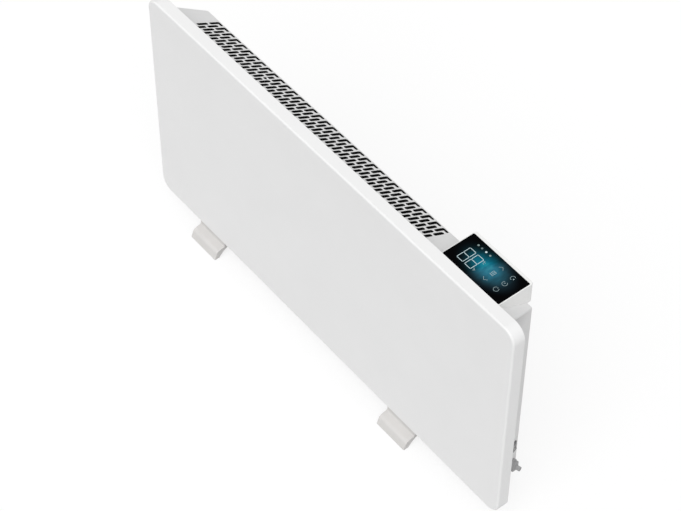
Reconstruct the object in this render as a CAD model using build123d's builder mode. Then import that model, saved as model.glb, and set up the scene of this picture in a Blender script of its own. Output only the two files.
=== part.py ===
from build123d import *
import os
from math import atan2, cos, degrees, hypot, radians, sin

# Wall panel convector heater, standing on its two feet.
# A folded steel front panel carries a sloped sheet-steel casing on its back. Cold air enters
# through slots in the casing's bottom, passes a finned aluminium element and leaves through
# the slots in the sloped top. A plastic control box with a touch glass stands on the right
# end of the top, and the right end wall carries the mains rocker switch and the cable gland.
#
# Frame: X runs right along the panel, Y runs back to the wall, Z is up. The origin is on the
# floor, under the middle of the body. All sizes are in millimetres.

# ------------------------------------------------------------------ driving dimensions
# Whole body
body_depth = 83.0             # panel face to the casing's back
foot_height = 40.0            # floor to the panel's lower edge
fit_gap = 0.3                 # clearance between pieces that are put together
contact_gap = 0.1             # clearance of a seated piece

# Front panel
panel_width = 900.0
panel_height = 454.0
panel_depth = 22.0
panel_corner = 24.0           # corner radius of the face
panel_edge = 3.5              # rounding round the face
panel_sheet = 1.2
panel_return_side = 50.0      # folded-in return at each end
panel_return_edge = 20.0      # folded-in return at top and bottom

# Rear casing
casing_sheet = 1.0
casing_side_margin = 32.0     # panel's end to the casing's front corner
casing_end_inset = 18.0       # each end wall leans in by this towards the back
casing_lift = 4.0             # casing's floor above the panel's lower edge
casing_front_drop = 12.0      # front edge of the sloped top, below the panel's top
casing_rear_drop = 44.0       # rear edge of the sloped top, below the panel's top
fold_radius = 3.0
ear_width = 18.0              # screw ears at the casing's ends
ear_end_margin = 30.0         # ear's end to the panel's edge
ear_screw_margin = 20.0       # outer screws to the ear's end
ear_screw_spare = 4.0         # screw's end beyond the panel's return

# Outlet slots in the sloped top, measured from the top's rear edge
slot_width = 6.0
slot_pitch = 16.7             # one hooked line and one straight line
slot_end_margin = 37.5        # casing's rear left corner to the first line
slot_box_margin = 40.0        # last hooked line to the control box, at least
hook_front_slot = (54.0, 29.8)
hook_rear_slot = (26.2, 3.0)
hook_tail = 13.0              # length of the hook's tail along the casing
hook_tail_width = 5.8
straight_front_slot = (60.0, 40.8)
straight_rear_slot = (37.2, 14.0)

# Inlet slots in the casing's floor
inlet_length = 40.0

# Control box on the casing's top
box_width = 128.0
box_end_margin = 11.0         # box's right side to the casing's rear corner
box_drop = 4.3                # box's top below the panel's top
box_overhang = 8.5            # past the casing's back
box_wall = 2.2
box_corner = 4.0
box_top_edge = 0.8
box_front_wall = 1.6
glass_width = 125.0
glass_depth = 62.0
glass_thick = 2.0
glass_corner = 2.2
glass_bevel = 0.25
glass_front_rim = 2.1
glass_sink = 0.3              # glass below the box's rim
gasket_thick = 0.8
gasket_inset = 0.3            # gasket's edge inside the glass's
gasket_border = 5.0
ledge_thick = 1.5
ledge_window = (96.0, 47.0)
ledge_window_corner = 2.0
box_boss_height = 9.0
top_opening_width = 108.0     # opening in the casing's top under the box
top_opening_margin = 3.5

# Display behind the glass
display_board_size = (104.0, 52.0)
display_board_back = -1.9     # board's middle behind the glass's middle
board_corner = 2.6            # screw to the board's edges
display_gap = 8.2             # glass to board
module_height = 7.8
digit_module_size = (36.0, 32.0)
digit_module_offset = (-28.9, -5.0)    # from the glass's middle
icon_guide_size = (42.0, 42.0)
icon_guide_offset = (23.5, 2.1)
icon_guide_wall = 2.0
led_offsets = (-40.4, -32.4, -23.2, -14.3)
led_row = 20.6                # dots behind the glass's middle
led_size = (3.0, 3.0, 1.6)
small_screw_radius = 1.2
small_head_radius = 2.2

# Screws and rivets
screw_radius = 1.6
screw_head_radius = 3.3
screw_head_height = 2.2
screw_clear = 0.15            # radial clearance of a screw in sheet
rivet_radius = 1.5

# Heating element
element_left_room = 55.0      # casing's rear left corner to the element
element_right_room = 45.0     # element to the partition
element_y = 10.5
element_lift = 110.0          # above the panel's lower edge
element_core = 8.0
fin_reach = 34.0
fin_thick = 2.0
fin_angle = 35.0              # of each fin from the vertical
fin_pitch = 12.5
fin_cut = 4.0
rod_radius = 4.0
bracket_sheet = 1.2
bracket_height = 60.0
bracket_foot = 14.0
bracket_standoff = 7.0        # bracket beyond the fins
bracket_reach = 10.0          # plate in front of the rod's middle
bracket_corner = 6.0
bracket_screw_rows = (-18.0, 18.0)
sheet_screw_length = 7.0
press_gap = 0.05              # round pieces that are pressed or screwed in
insulator_radius = 6.0
rod_stub = 8.0
stud_radius = 2.0
stud_length = 8.0
stud_nut_height = 2.4
stud_nut_start = 3.0

# Heat shield between the element and the back
shield_sheet = 0.8
shield_offset = 7.0
shield_bottom_lift = 35.0     # above the panel's lower edge
shield_top_drop = 99.0        # below the panel's upper edge
shield_lip = 10.0
shield_rivet_share = 0.42     # of the shield's width, to each side

# Partition between the warm duct and the electronics bay
partition_box_margin = 11.0   # control box's left side to the partition
partition_sheet = 1.0
partition_foot = 14.0
partition_foot_margin = 65.0  # foot's ends to the panel's edges
partition_screw_margin = 40.0
grommet_radius = 6.0
grommet_flange = 1.5

# Rocker switch in the right end wall
switch_y = 27.0
switch_lift = 77.0            # above the panel's lower edge
bezel_size = (15.0, 21.0, 2.0)
switch_body_size = (13.0, 19.0, 16.0)
rocker_width = 9.4
rocker_reach = 7.9            # radius of the rocker's ends about its pivot
rocker_gap = 0.4              # round the rocker in its opening
rocker_end_rise = 1.8         # rocker's ends above the bezel's face, when level
rocker_middle_rise = 0.6
rocker_skirt = 5.0            # rocker below the bezel's face
rocker_skin = 1.2
rocker_tilt = 9.0             # to each side of level
switch_well = 8.5             # depth of the rocker's well
pivot_depth = 2.6             # pivot below the bezel's face
pivot_radius = 1.1
pivot_length = 1.2
pivot_clear = 0.05
snap_proud = 0.8
blade_size = (4.8, 0.8, 8.0)
blade_pitch = (7.0, 9.0)

# Cable gland in the right end wall
gland_y = 25.5
gland_lift = 32.5
gland_thread_radius = 8.0
gland_thread_length = 9.0
gland_hex = 19.0              # across flats
gland_hex_height = 5.0
gland_cap_hex = 17.0
gland_cap_height = 5.0
gland_nut_height = 4.0
gland_bush_radius = 4.0
gland_bush_reach = 18.0
gland_bush_inside = 8.0
gland_bush_round = 0.6
cord_bore_radius = 3.0

# Feet
foot_width = 70.0
foot_end_margins = (138.5, 243.5)      # foot's middle to the panel's left and right end
foot_length = 116.0           # toe to toe
foot_stem_depth = 71.0
foot_instep_z = 20.5
foot_toe_z = 18.0             # height of the toe's shoulder
foot_toe_lean = 6.0           # shoulder behind the toe's tip
foot_shoulder = 9.0           # rounding of the shoulder
foot_ankle = 4.0              # rounding where the stem meets the toe
foot_edge = 1.2               # rounding of the toe's tip and of the two ends
foot_sole = 10.5              # sole under each toe
foot_arch = 24.0
foot_wall = 3.0
foot_boss_radius = 5.6
pad_width = 5.0
pad_length = 58.0
pad_proud = 0.5
pad_thick = 1.5
foot_screw_pitch = 26.0
foot_screw_seat_z = 34.0

# Slots in the back that take the hooks of a wall bracket
hook_slot_pitch = 480.0
hook_slot_drop = 74.0         # below the panel's upper edge
hook_slot_length = 18.0
hook_slot_width = 5.0

# Electronics bay: places are from the control box's middle, and up from the panel's lower edge
power_board_size = (90.0, 110.0)
power_board_offset = (-5.0, 215.0)
power_board_screw_inset = 6.0
board_thick = 1.6
spacer_height = 8.0
spacer_radius = 3.0
lead_radius = 1.5
sensor_lead_radius = 1.2
lead_bend = 5.0
terminal_block_size = (36.0, 20.0, 17.0)
block_offset = (5.0, 38.0)
pole_pitch = 12.0
clamp_row = 6.0               # clamp screws above and below the block's middle
clamp_depth = 6.0             # clamp screws below the block's face
clamp_screw_radius = 2.1
wire_seat = 3.0               # leads go this far into a block
connector_pitch = 12.0
earth_offset = (-35.0, 38.0)
sensor_offset = -35.0
sensor_radius = 2.5
sensor_lift = 6.0
cutout_room = 100.0           # cut-out to the partition
cutout_lift = 175.0
cutout_radius = 8.0
cutout_flange = 0.8
cutout_height = 8.0
cutout_blade = 6.0            # terminals beyond the cut-out's cup
cutout_rivet_pitch = 28.0

# ------------------------------------------------------------------ derived places
panel_front_y = -body_depth / 2
rear_y = body_depth / 2
panel_back_y = panel_front_y + panel_depth
panel_top_z = foot_height + panel_height
panel_mid_z = foot_height + panel_height / 2
casing_bottom_z = foot_height + casing_lift
casing_front_top_z = panel_top_z - casing_front_drop
casing_rear_top_z = panel_top_z - casing_rear_drop
casing_reach = rear_y - panel_back_y
casing_mid_y = (rear_y + panel_back_y) / 2
rear_inner_y = rear_y - casing_sheet
floor_inner_z = casing_bottom_z + casing_sheet
top_fall = casing_front_top_z - casing_rear_top_z
top_slope = atan2(top_fall, casing_reach)
end_slope = atan2(casing_end_inset, casing_reach)
casing_front_width = panel_width - 2 * casing_side_margin
casing_rear_width = casing_front_width - 2 * casing_end_inset
ear_height = panel_height - 2 * ear_end_margin
ear_screw_pitch = ear_height / 2 - ear_screw_margin
box_centre_x = casing_rear_width / 2 - box_end_margin - box_width / 2
box_left_x = box_centre_x - box_width / 2
partition_x = box_left_x - partition_box_margin
foot_centres = (foot_end_margins[0] - panel_width / 2, panel_width / 2 - foot_end_margins[1])
slot_first_x = slot_end_margin - casing_rear_width / 2
slot_pairs = int((box_left_x - slot_box_margin - slot_first_x) // slot_pitch) + 1
element_left_x = element_left_room - casing_rear_width / 2
element_right_x = partition_x - element_right_room
element_length = element_right_x - element_left_x
element_centre_x = (element_left_x + element_right_x) / 2
element_z = foot_height + element_lift
switch_z = foot_height + switch_lift
gland_z = foot_height + gland_lift
board_x = box_centre_x + power_board_offset[0]
board_z = foot_height + power_board_offset[1]
block_centre = (box_centre_x + block_offset[0], foot_height + block_offset[1])
earth_point = (box_centre_x + earth_offset[0], foot_height + earth_offset[1])
cutout_place = (partition_x - cutout_room, foot_height + cutout_lift)

top_plane = Plane(origin=(0, rear_y, casing_rear_top_z), x_dir=(1, 0, 0),
                  z_dir=(0, sin(top_slope), cos(top_slope)))


def at_depth(y):
    """Upright plane across the heater at depth y: sketch X is X, sketch Y is Z."""
    return Plane.XZ.offset(-y)


def at_side(x):
    """Upright plane along the depth at x: sketch X is Y, sketch Y is Z."""
    return Plane.YZ.offset(x)


def top_z(y):
    """Height of the sloped top's outer face at depth y."""
    return casing_rear_top_z + (rear_y - y) * top_fall / casing_reach


def end_x(y):
    """Outer face of the right end wall at depth y."""
    return casing_rear_width / 2 + (rear_y - y) * casing_end_inset / casing_reach


def wall_plane(y, z, out=0.0):
    """Plane on the right end wall: sketch X runs back, sketch Y up, normal outwards."""
    outward = Vector(cos(end_slope), sin(end_slope), 0)
    return Plane(origin=Vector(end_x(y), y, z) + outward * out,
                 x_dir=(-sin(end_slope), cos(end_slope), 0), z_dir=outward)


def save(piece, name):
    """Label the finished piece and write it under its own name."""
    piece.part.label = name
    export_step(piece.part, f"parts/{name}.step")


def pan_screw(length, radius=screw_radius, head=screw_head_radius, height=screw_head_height):
    """Cross-head screws at the current locations, heads up along the local Z."""
    Cylinder(head, height / 2, align=(Align.CENTER, Align.CENTER, Align.MIN))
    with Locations((0, 0, height / 2)):
        Cone(head, head * 0.65, height / 2, align=(Align.CENTER, Align.CENTER, Align.MIN))
    Cylinder(radius, length, align=(Align.CENTER, Align.CENTER, Align.MAX))
    with Locations((0, 0, height)):
        Box(head * 1.1, head * 0.22, height * 1.1, mode=Mode.SUBTRACT)
        Box(head * 0.22, head * 1.1, height * 1.1, mode=Mode.SUBTRACT)


def insulated_lead(points, bend, radius=lead_radius):
    """A round lead along straight runs joined by arcs."""
    with BuildLine() as route:
        FilletPolyline(*points, radius=bend)
    with BuildSketch(Plane(origin=route.line @ 0, z_dir=route.line % 0)) as section:
        Circle(radius)
    sweep(section.sketch, path=route.line)


os.makedirs("parts", exist_ok=True)

# ------------------------------------------------------------------ front panel
ear_y = panel_back_y
ear_screw_x = casing_front_width / 2 + ear_width / 2
ear_screws = [(side * ear_screw_x, panel_mid_z + row * ear_screw_pitch)
              for side in (-1, 1) for row in (-1, 0, 1)]

with BuildPart() as tray_room:
    with BuildSketch(at_depth(panel_front_y + panel_sheet)):
        with Locations((0, panel_mid_z)):
            RectangleRounded(panel_width - 2 * panel_sheet, panel_height - 2 * panel_sheet,
                             panel_corner - panel_sheet)
    extrude(amount=-panel_depth)
    fillet(tray_room.faces().sort_by(Axis.Y)[0].edges(), panel_edge - panel_sheet)

with BuildPart() as front_panel:
    with BuildSketch(at_depth(panel_front_y)):
        with Locations((0, panel_mid_z)):
            RectangleRounded(panel_width, panel_height, panel_corner)
    extrude(amount=-panel_depth)
    fillet(front_panel.faces().sort_by(Axis.Y)[0].edges(), panel_edge)
    add(tray_room.part, mode=Mode.SUBTRACT)
    with BuildSketch(at_depth(panel_back_y - panel_sheet)):
        with Locations((0, panel_mid_z)):
            RectangleRounded(panel_width - panel_sheet, panel_height - panel_sheet,
                             panel_corner - panel_sheet / 2)
            Rectangle(panel_width - 2 * panel_return_side,
                      panel_height - 2 * panel_return_edge, mode=Mode.SUBTRACT)
        with Locations(*ear_screws):
            Circle(screw_radius + screw_clear, mode=Mode.SUBTRACT)
    extrude(amount=-panel_sheet)
save(front_panel, "front_panel")

# ------------------------------------------------------------------ rear casing
slot_xs = [slot_first_x + i * slot_pitch for i in range(slot_pairs)]
foot_zone = foot_width / 2 + slot_width
open_inlet_xs = [x for x in slot_xs
                 if all(abs(x - centre) > foot_zone for centre in foot_centres)]
foot_screws = [(centre, side * foot_screw_pitch / 2)
               for centre in foot_centres for side in (-1, 1)]

box_screw_x = box_width / 2 - box_wall - screw_head_radius + 0.7
box_screw_v = 13.0
box_screws = [(box_centre_x + side * box_screw_x, -box_screw_v) for side in (-1, 1)]
top_length = hypot(casing_reach, top_fall)

left_bracket_x = element_left_x - bracket_standoff
right_bracket_x = element_right_x + bracket_standoff
bracket_screws_at = [(x, element_z + row)
                     for x in (left_bracket_x - bracket_foot / 2,
                               right_bracket_x + bracket_foot / 2)
                     for row in bracket_screw_rows]
partition_foot_height = panel_height - 2 * partition_foot_margin
partition_screws_at = [(partition_x + partition_sheet + partition_foot / 2,
                        panel_mid_z + side * (partition_foot_height / 2 - partition_screw_margin))
                       for side in (-1, 1)]
shield_width = element_length + bracket_standoff
shield_bottom_z = foot_height + shield_bottom_lift
shield_top_z = panel_top_z - shield_top_drop
shield_height = shield_top_z - shield_bottom_z
shield_rivets_at = [(element_centre_x + side * shield_width * shield_rivet_share, z)
                    for side in (-1, 1)
                    for z in (shield_bottom_z - shield_lip / 2, shield_top_z + shield_lip / 2)]
block_screw_point = (block_centre[0] + pole_pitch / 2, block_centre[1])
cutout_rivets_at = [(cutout_place[0], cutout_place[1] + side * cutout_rivet_pitch / 2)
                    for side in (-1, 1)]
hook_slots = [(side * hook_slot_pitch / 2, panel_top_z - hook_slot_drop) for side in (-1, 1)]


def slots_across(xs, span):
    """Round-ended slots at each x, from span[0] to span[1] off the top's rear edge."""
    front, rear = span
    with Locations(*[(x, -(front + rear) / 2) for x in xs]):
        SlotOverall(front - rear, slot_width, rotation=90)


def casing_section(y, inset):
    """Outline of the casing at depth y, its walls moved in by inset."""
    half = end_x(y) - inset / cos(end_slope)
    low = casing_bottom_z + inset
    high = top_z(y) - inset / cos(top_slope)
    with BuildSketch(at_depth(y)) as section:
        with Locations((0, (low + high) / 2)):
            Rectangle(2 * half, high - low)
    return section.sketch


def folded_edges(body):
    """Edges of a casing body that are folds: all but those round its open mouth."""
    mouth_y = body.edges().sort_by(Axis.Y)[0].center().Y
    return [edge for edge in body.edges() if edge.center().Y > mouth_y + 1.0]


with BuildPart() as casing_room:
    loft([casing_section(panel_back_y - 1.0, casing_sheet),
          casing_section(rear_inner_y, casing_sheet)], ruled=True)
    fillet(folded_edges(casing_room), fold_radius - casing_sheet)

with BuildPart() as rear_casing:
    loft([casing_section(panel_back_y, 0), casing_section(rear_y, 0)], ruled=True)
    fillet(folded_edges(rear_casing), fold_radius)
    add(casing_room.part, mode=Mode.SUBTRACT)
    # screw ears that lie on the panel's return
    with BuildSketch(at_depth(ear_y)):
        for side in (-1, 1):
            with Locations((side * (casing_front_width / 2 + ear_width / 2 - casing_sheet / 2),
                            panel_mid_z)):
                Rectangle(ear_width + casing_sheet, ear_height)
        with Locations(*ear_screws):
            Circle(screw_radius + screw_clear, mode=Mode.SUBTRACT)
    extrude(amount=-casing_sheet)
    # outlet slots in the sloped top, and the opening under the control box
    with BuildSketch(top_plane):
        slots_across(slot_xs, hook_front_slot)
        slots_across(slot_xs, hook_rear_slot)
        straight_xs = [x + slot_pitch / 2 for x in slot_xs]
        slots_across(straight_xs, straight_front_slot)
        slots_across(straight_xs, straight_rear_slot)
        with Locations(*[(x + (hook_tail - slot_width) / 2,
                          -(hook_rear_slot[1] + hook_tail_width / 2)) for x in slot_xs]):
            SlotOverall(hook_tail, hook_tail_width)
        with Locations((box_centre_x, -top_length / 2)):
            Rectangle(top_opening_width, top_length - 2 * top_opening_margin)
        with Locations(*box_screws):
            Circle(screw_radius + screw_clear)
    extrude(amount=2 * casing_sheet, both=True, mode=Mode.SUBTRACT)
    # inlet slots and foot screws in the floor
    with BuildSketch(Plane.XY.offset(casing_bottom_z)):
        with Locations(*[(x, casing_mid_y) for x in open_inlet_xs]):
            SlotOverall(inlet_length, slot_width, rotation=90)
        with Locations(*foot_screws):
            Circle(screw_radius + screw_clear)
    extrude(amount=2 * casing_sheet, both=True, mode=Mode.SUBTRACT)
    # back wall: wall hooks, brackets, partition, earth screw and heat shield
    with BuildSketch(at_depth(rear_y)):
        with Locations(*hook_slots):
            SlotOverall(hook_slot_length, hook_slot_width)
        with Locations(*bracket_screws_at, *partition_screws_at, earth_point, block_screw_point):
            Circle(screw_radius + screw_clear)
        with Locations(*shield_rivets_at):
            Circle(rivet_radius + screw_clear)
    extrude(amount=2 * casing_sheet, both=True, mode=Mode.SUBTRACT)
    # right end wall: switch and gland
    with BuildSketch(wall_plane(switch_y, switch_z)):
        Rectangle(switch_body_size[0] + fit_gap, switch_body_size[1] + fit_gap)
    extrude(amount=2 * casing_sheet, both=True, mode=Mode.SUBTRACT)
    with BuildSketch(wall_plane(gland_y, gland_z)):
        Circle(gland_thread_radius + fit_gap)
    extrude(amount=2 * casing_sheet, both=True, mode=Mode.SUBTRACT)
save(rear_casing, "rear_casing")

with BuildPart() as casing_screws:
    with Locations(*[Plane(origin=(x, ear_y + casing_sheet, z), z_dir=(0, 1, 0))
                     for x, z in ear_screws]):
        pan_screw(casing_sheet + panel_sheet + ear_screw_spare)
save(casing_screws, "casing_screws")

# ------------------------------------------------------------------ heat shield
shield_y = rear_inner_y - shield_offset

with BuildPart() as heat_shield:
    with BuildSketch(at_side(element_centre_x - shield_width / 2)) as section:
        with Locations((shield_y, (shield_bottom_z + shield_top_z) / 2)):
            Rectangle(shield_sheet, shield_height)
        for edge_z, way in ((shield_bottom_z, -1), (shield_top_z, 1)):
            with Locations(((shield_y + rear_inner_y) / 2, edge_z)):
                Rectangle(shield_offset, shield_sheet)
            with Locations((rear_inner_y - shield_sheet / 2, edge_z + way * shield_lip / 2)):
                Rectangle(shield_sheet, shield_lip)
    extrude(amount=shield_width)
    with BuildSketch(at_depth(rear_inner_y)):
        with Locations(*shield_rivets_at):
            Circle(rivet_radius + screw_clear)
    extrude(amount=2 * shield_sheet, both=True, mode=Mode.SUBTRACT)
    with BuildSketch(at_depth(shield_y)):
        with Locations(*cutout_rivets_at):
            Circle(rivet_radius + screw_clear)
    extrude(amount=2 * shield_sheet, both=True, mode=Mode.SUBTRACT)
save(heat_shield, "heat_shield")

shield_face_y = shield_y - shield_sheet / 2

with BuildPart() as shield_rivets:
    with Locations(*[Plane(origin=(x, rear_y, z), z_dir=(0, 1, 0)) for x, z in shield_rivets_at],
                   *[Plane(origin=(x, shield_face_y - cutout_flange, z), z_dir=(0, -1, 0))
                     for x, z in cutout_rivets_at]):
        Cylinder(rivet_radius, casing_sheet + shield_sheet + 2.0,
                 align=(Align.CENTER, Align.CENTER, Align.MAX))
        Cone(rivet_radius * 2, rivet_radius, 0.9, align=(Align.CENTER, Align.CENTER, Align.MIN))
save(shield_rivets, "shield_rivets")

# ------------------------------------------------------------------ partition of the bay
top_inner_fall = casing_sheet / cos(top_slope)
partition_front_y = panel_back_y + 0.5
partition_rear_y = rear_inner_y - contact_gap
partition_bottom_z = floor_inner_z + fit_gap
near_grommet = (27.0, board_z - 15.0)
far_grommet = (32.0, casing_bottom_z + 14.0)

with BuildPart() as bay_partition:
    with BuildSketch(at_side(partition_x)) as outline:
        with BuildLine():
            Polyline((partition_front_y, partition_bottom_z),
                     (partition_rear_y, partition_bottom_z),
                     (partition_rear_y, top_z(partition_rear_y) - top_inner_fall - fit_gap),
                     (partition_front_y, top_z(partition_front_y) - top_inner_fall - fit_gap),
                     close=True)
        make_face()
        fillet(outline.vertices(), fold_radius)
        with Locations(near_grommet, far_grommet):
            Circle(grommet_radius - grommet_flange, mode=Mode.SUBTRACT)
    extrude(amount=partition_sheet)
    with BuildSketch(at_depth(partition_rear_y - partition_sheet)):
        with Locations((partition_x + partition_foot / 2, panel_mid_z)):
            Rectangle(partition_foot, partition_foot_height)
        with Locations(*partition_screws_at):
            Circle(screw_radius + press_gap, mode=Mode.SUBTRACT)
    extrude(amount=-partition_sheet)
save(bay_partition, "bay_partition")

with BuildPart() as lead_grommets:
    with Locations(*[(partition_x + partition_sheet / 2, y, z)
                     for y, z in (near_grommet, far_grommet)]):
        Cylinder(grommet_radius, partition_sheet + 2 * grommet_flange, rotation=(0, 90, 0))
        Cylinder(lead_radius + contact_gap, 20.0, rotation=(0, 90, 0), mode=Mode.SUBTRACT)
        Cylinder(grommet_radius + 1.0, partition_sheet + contact_gap, rotation=(0, 90, 0),
                 mode=Mode.SUBTRACT)
        Cylinder(grommet_radius - grommet_flange - contact_gap, partition_sheet + 2 * contact_gap,
                 rotation=(0, 90, 0))
        Cylinder(lead_radius + contact_gap, 20.0, rotation=(0, 90, 0), mode=Mode.SUBTRACT)
save(lead_grommets, "lead_grommets")

# ------------------------------------------------------------------ heating element
with BuildPart() as heating_element:
    with BuildSketch(at_side(element_left_x)):
        with Locations((element_y, element_z)):
            Circle(element_core)
            for angle in (fin_angle, -fin_angle):
                Rectangle(fin_thick, 2 * fin_reach, rotation=angle)
            Circle(rod_radius + press_gap, mode=Mode.SUBTRACT)
    extrude(amount=element_length)
    cut_count = int(element_length // fin_pitch)
    cut_start = element_centre_x - (cut_count - 1) * fin_pitch / 2
    with BuildSketch(*[at_side(cut_start + i * fin_pitch) for i in range(cut_count)]):
        with Locations((element_y, element_z)):
            Circle(fin_reach + 4.0)
            Circle(element_core, mode=Mode.SUBTRACT)
    extrude(amount=fin_cut / 2, both=True, mode=Mode.SUBTRACT)
save(heating_element, "heating_element")

rod_left_x = left_bracket_x - rod_stub
rod_right_x = right_bracket_x + rod_stub
with BuildPart() as heating_rod:
    with BuildSketch(at_side(rod_left_x)):
        with Locations((element_y, element_z)):
            Circle(rod_radius)
    extrude(amount=rod_right_x - rod_left_x)
save(heating_rod, "heating_rod")

with BuildPart() as rod_studs:
    for end_x_at, way in ((rod_left_x, -1), (rod_right_x, 1)):
        with BuildSketch(at_side(end_x_at)):
            with Locations((element_y, element_z)):
                Circle(stud_radius)
        extrude(amount=way * stud_length)
        with BuildSketch(at_side(end_x_at + way * stud_nut_start)):
            with Locations((element_y, element_z)):
                RegularPolygon(stud_radius * 1.9, 6)
        extrude(amount=way * stud_nut_height)
save(rod_studs, "rod_studs")

with BuildPart() as rod_insulators:
    for end_x_at, way in ((left_bracket_x - bracket_sheet / 2, -1),
                          (right_bracket_x + bracket_sheet / 2, 1)):
        with BuildSketch(at_side(end_x_at + way * contact_gap)):
            with Locations((element_y, element_z)):
                Circle(insulator_radius)
                Circle(rod_radius + contact_gap, mode=Mode.SUBTRACT)
        extrude(amount=way * (rod_stub - 1.0))
save(rod_insulators, "rod_insulators")


def element_bracket(x, way):
    """Upright bracket plate at x with its foot on the back wall, turned to way."""
    plate_front_y = element_y - bracket_reach
    with BuildSketch(at_side(x - bracket_sheet / 2)) as plate:
        with Locations(((plate_front_y + rear_inner_y - contact_gap) / 2, element_z)):
            Rectangle(rear_inner_y - contact_gap - plate_front_y, bracket_height)
        fillet(plate.vertices().group_by(Axis.Y)[0], bracket_corner)
        with Locations((element_y, element_z)):
            Circle(rod_radius + press_gap, mode=Mode.SUBTRACT)
    extrude(plate.sketch, amount=bracket_sheet)
    with BuildSketch(at_depth(rear_inner_y - contact_gap - bracket_sheet)) as foot:
        with Locations((x + way * bracket_foot / 2, element_z)):
            Rectangle(bracket_foot, bracket_height)
        with Locations(*[(x + way * bracket_foot / 2, element_z + row)
                         for row in bracket_screw_rows]):
            Circle(screw_radius + press_gap, mode=Mode.SUBTRACT)
    extrude(foot.sketch, amount=-bracket_sheet)


with BuildPart() as element_bracket_left:
    element_bracket(left_bracket_x, -1)
save(element_bracket_left, "element_bracket_left")

with BuildPart() as element_bracket_right:
    element_bracket(right_bracket_x, 1)
save(element_bracket_right, "element_bracket_right")

with BuildPart() as bracket_screws:
    with Locations(*[Plane(origin=(x, rear_y, z), z_dir=(0, 1, 0))
                     for x, z in bracket_screws_at + partition_screws_at]):
        pan_screw(sheet_screw_length)
save(bracket_screws, "bracket_screws")

# ------------------------------------------------------------------ thermal cut-out
with BuildPart() as thermal_cutout:
    with BuildSketch(at_depth(shield_face_y)):
        with Locations(cutout_place):
            SlotOverall(cutout_rivet_pitch + 10.0, 10.0, rotation=90)
        with Locations(*cutout_rivets_at):
            Circle(rivet_radius + press_gap, mode=Mode.SUBTRACT)
    extrude(amount=cutout_flange)
    with BuildSketch(at_depth(shield_face_y)):
        with Locations(cutout_place):
            Circle(cutout_radius)
    extrude(amount=cutout_height)
    with BuildSketch(at_depth(shield_face_y - cutout_height / 2)):
        with Locations(cutout_place):
            Rectangle(2 * (cutout_radius + cutout_blade), 4.0)
    extrude(amount=cutout_flange)
save(thermal_cutout, "thermal_cutout")

# ------------------------------------------------------------------ control box
box_front_y = panel_back_y + fit_gap
box_rear_y = rear_y + box_overhang
box_top_z = panel_top_z - box_drop
glass_y = box_front_y + glass_front_rim + glass_depth / 2
glass_bottom_z = box_top_z - glass_sink - glass_thick
ledge_top_z = glass_bottom_z - gasket_thick
ledge_bottom_z = ledge_top_z - ledge_thick
window_centre = (box_centre_x + 1.0, glass_y + 0.6)
lip_z = casing_rear_top_z + contact_gap + box_wall
board_top_z = glass_bottom_z - display_gap
display_board_y = glass_y + display_board_back
board_corners = [(box_centre_x + i * (display_board_size[0] / 2 - board_corner),
                  display_board_y + j * (display_board_size[1] / 2 - board_corner))
                 for i in (-1, 1) for j in (-1, 1)]

with BuildPart() as control_box:
    with BuildSketch(at_side(box_left_x)):
        with BuildLine():
            Polyline((box_front_y, box_top_z),
                     (box_front_y, top_z(box_front_y) + contact_gap),
                     (rear_y, casing_rear_top_z + contact_gap),
                     (box_rear_y, casing_rear_top_z + contact_gap),
                     (box_rear_y, box_top_z), close=True)
        make_face()
    extrude(amount=box_width)
    fillet(control_box.edges().filter_by(Axis.Z).group_by(Axis.Y)[-1], box_corner)
    fillet(control_box.edges().filter_by(Axis.Z).group_by(Axis.Y)[0], box_corner / 2)
    fillet(control_box.faces().sort_by(Axis.Z)[-1].edges(), box_top_edge)
    # room inside, open downwards over the casing's opening
    with BuildSketch(at_side(box_left_x + box_wall)):
        with BuildLine():
            Polyline((box_front_y + box_front_wall, ledge_bottom_z),
                     (box_front_y + box_front_wall, casing_rear_top_z - 5.0),
                     (rear_y - 3.0, casing_rear_top_z - 5.0),
                     (rear_y - 3.0, lip_z),
                     (box_rear_y - box_wall, lip_z),
                     (box_rear_y - box_wall, ledge_bottom_z), close=True)
        make_face()
    extrude(amount=box_width - 2 * box_wall, mode=Mode.SUBTRACT)
    # pocket for the glass, and the window in the ledge below it
    with BuildSketch(Plane.XY.offset(box_top_z)):
        with Locations((box_centre_x, glass_y)):
            RectangleRounded(glass_width + 2 * contact_gap, glass_depth + 2 * contact_gap,
                             glass_corner + contact_gap)
    extrude(amount=ledge_top_z - box_top_z, mode=Mode.SUBTRACT)
    with BuildSketch(Plane.XY.offset(ledge_top_z)):
        with Locations(window_centre):
            RectangleRounded(*ledge_window, ledge_window_corner)
    extrude(amount=-ledge_thick, mode=Mode.SUBTRACT)
    # posts for the display board, bosses for the two fixing screws
    with BuildSketch(Plane.XY.offset(board_top_z)):
        with Locations(*board_corners):
            Circle(small_head_radius + 0.4)
            Circle(small_screw_radius + press_gap, mode=Mode.SUBTRACT)
    extrude(amount=ledge_bottom_z - board_top_z)
    with BuildSketch(top_plane.offset(contact_gap)):
        with Locations(*box_screws):
            Circle(screw_head_radius)
            Circle(screw_radius + press_gap, mode=Mode.SUBTRACT)
    extrude(amount=box_boss_height)
save(control_box, "control_box")

with BuildPart() as control_box_screws:
    with Locations(*[Plane(origin=top_plane.from_local_coords((x, v, -casing_sheet)),
                           z_dir=-top_plane.z_dir) for x, v in box_screws]):
        pan_screw(casing_sheet + sheet_screw_length)
save(control_box_screws, "control_box_screws")

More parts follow.
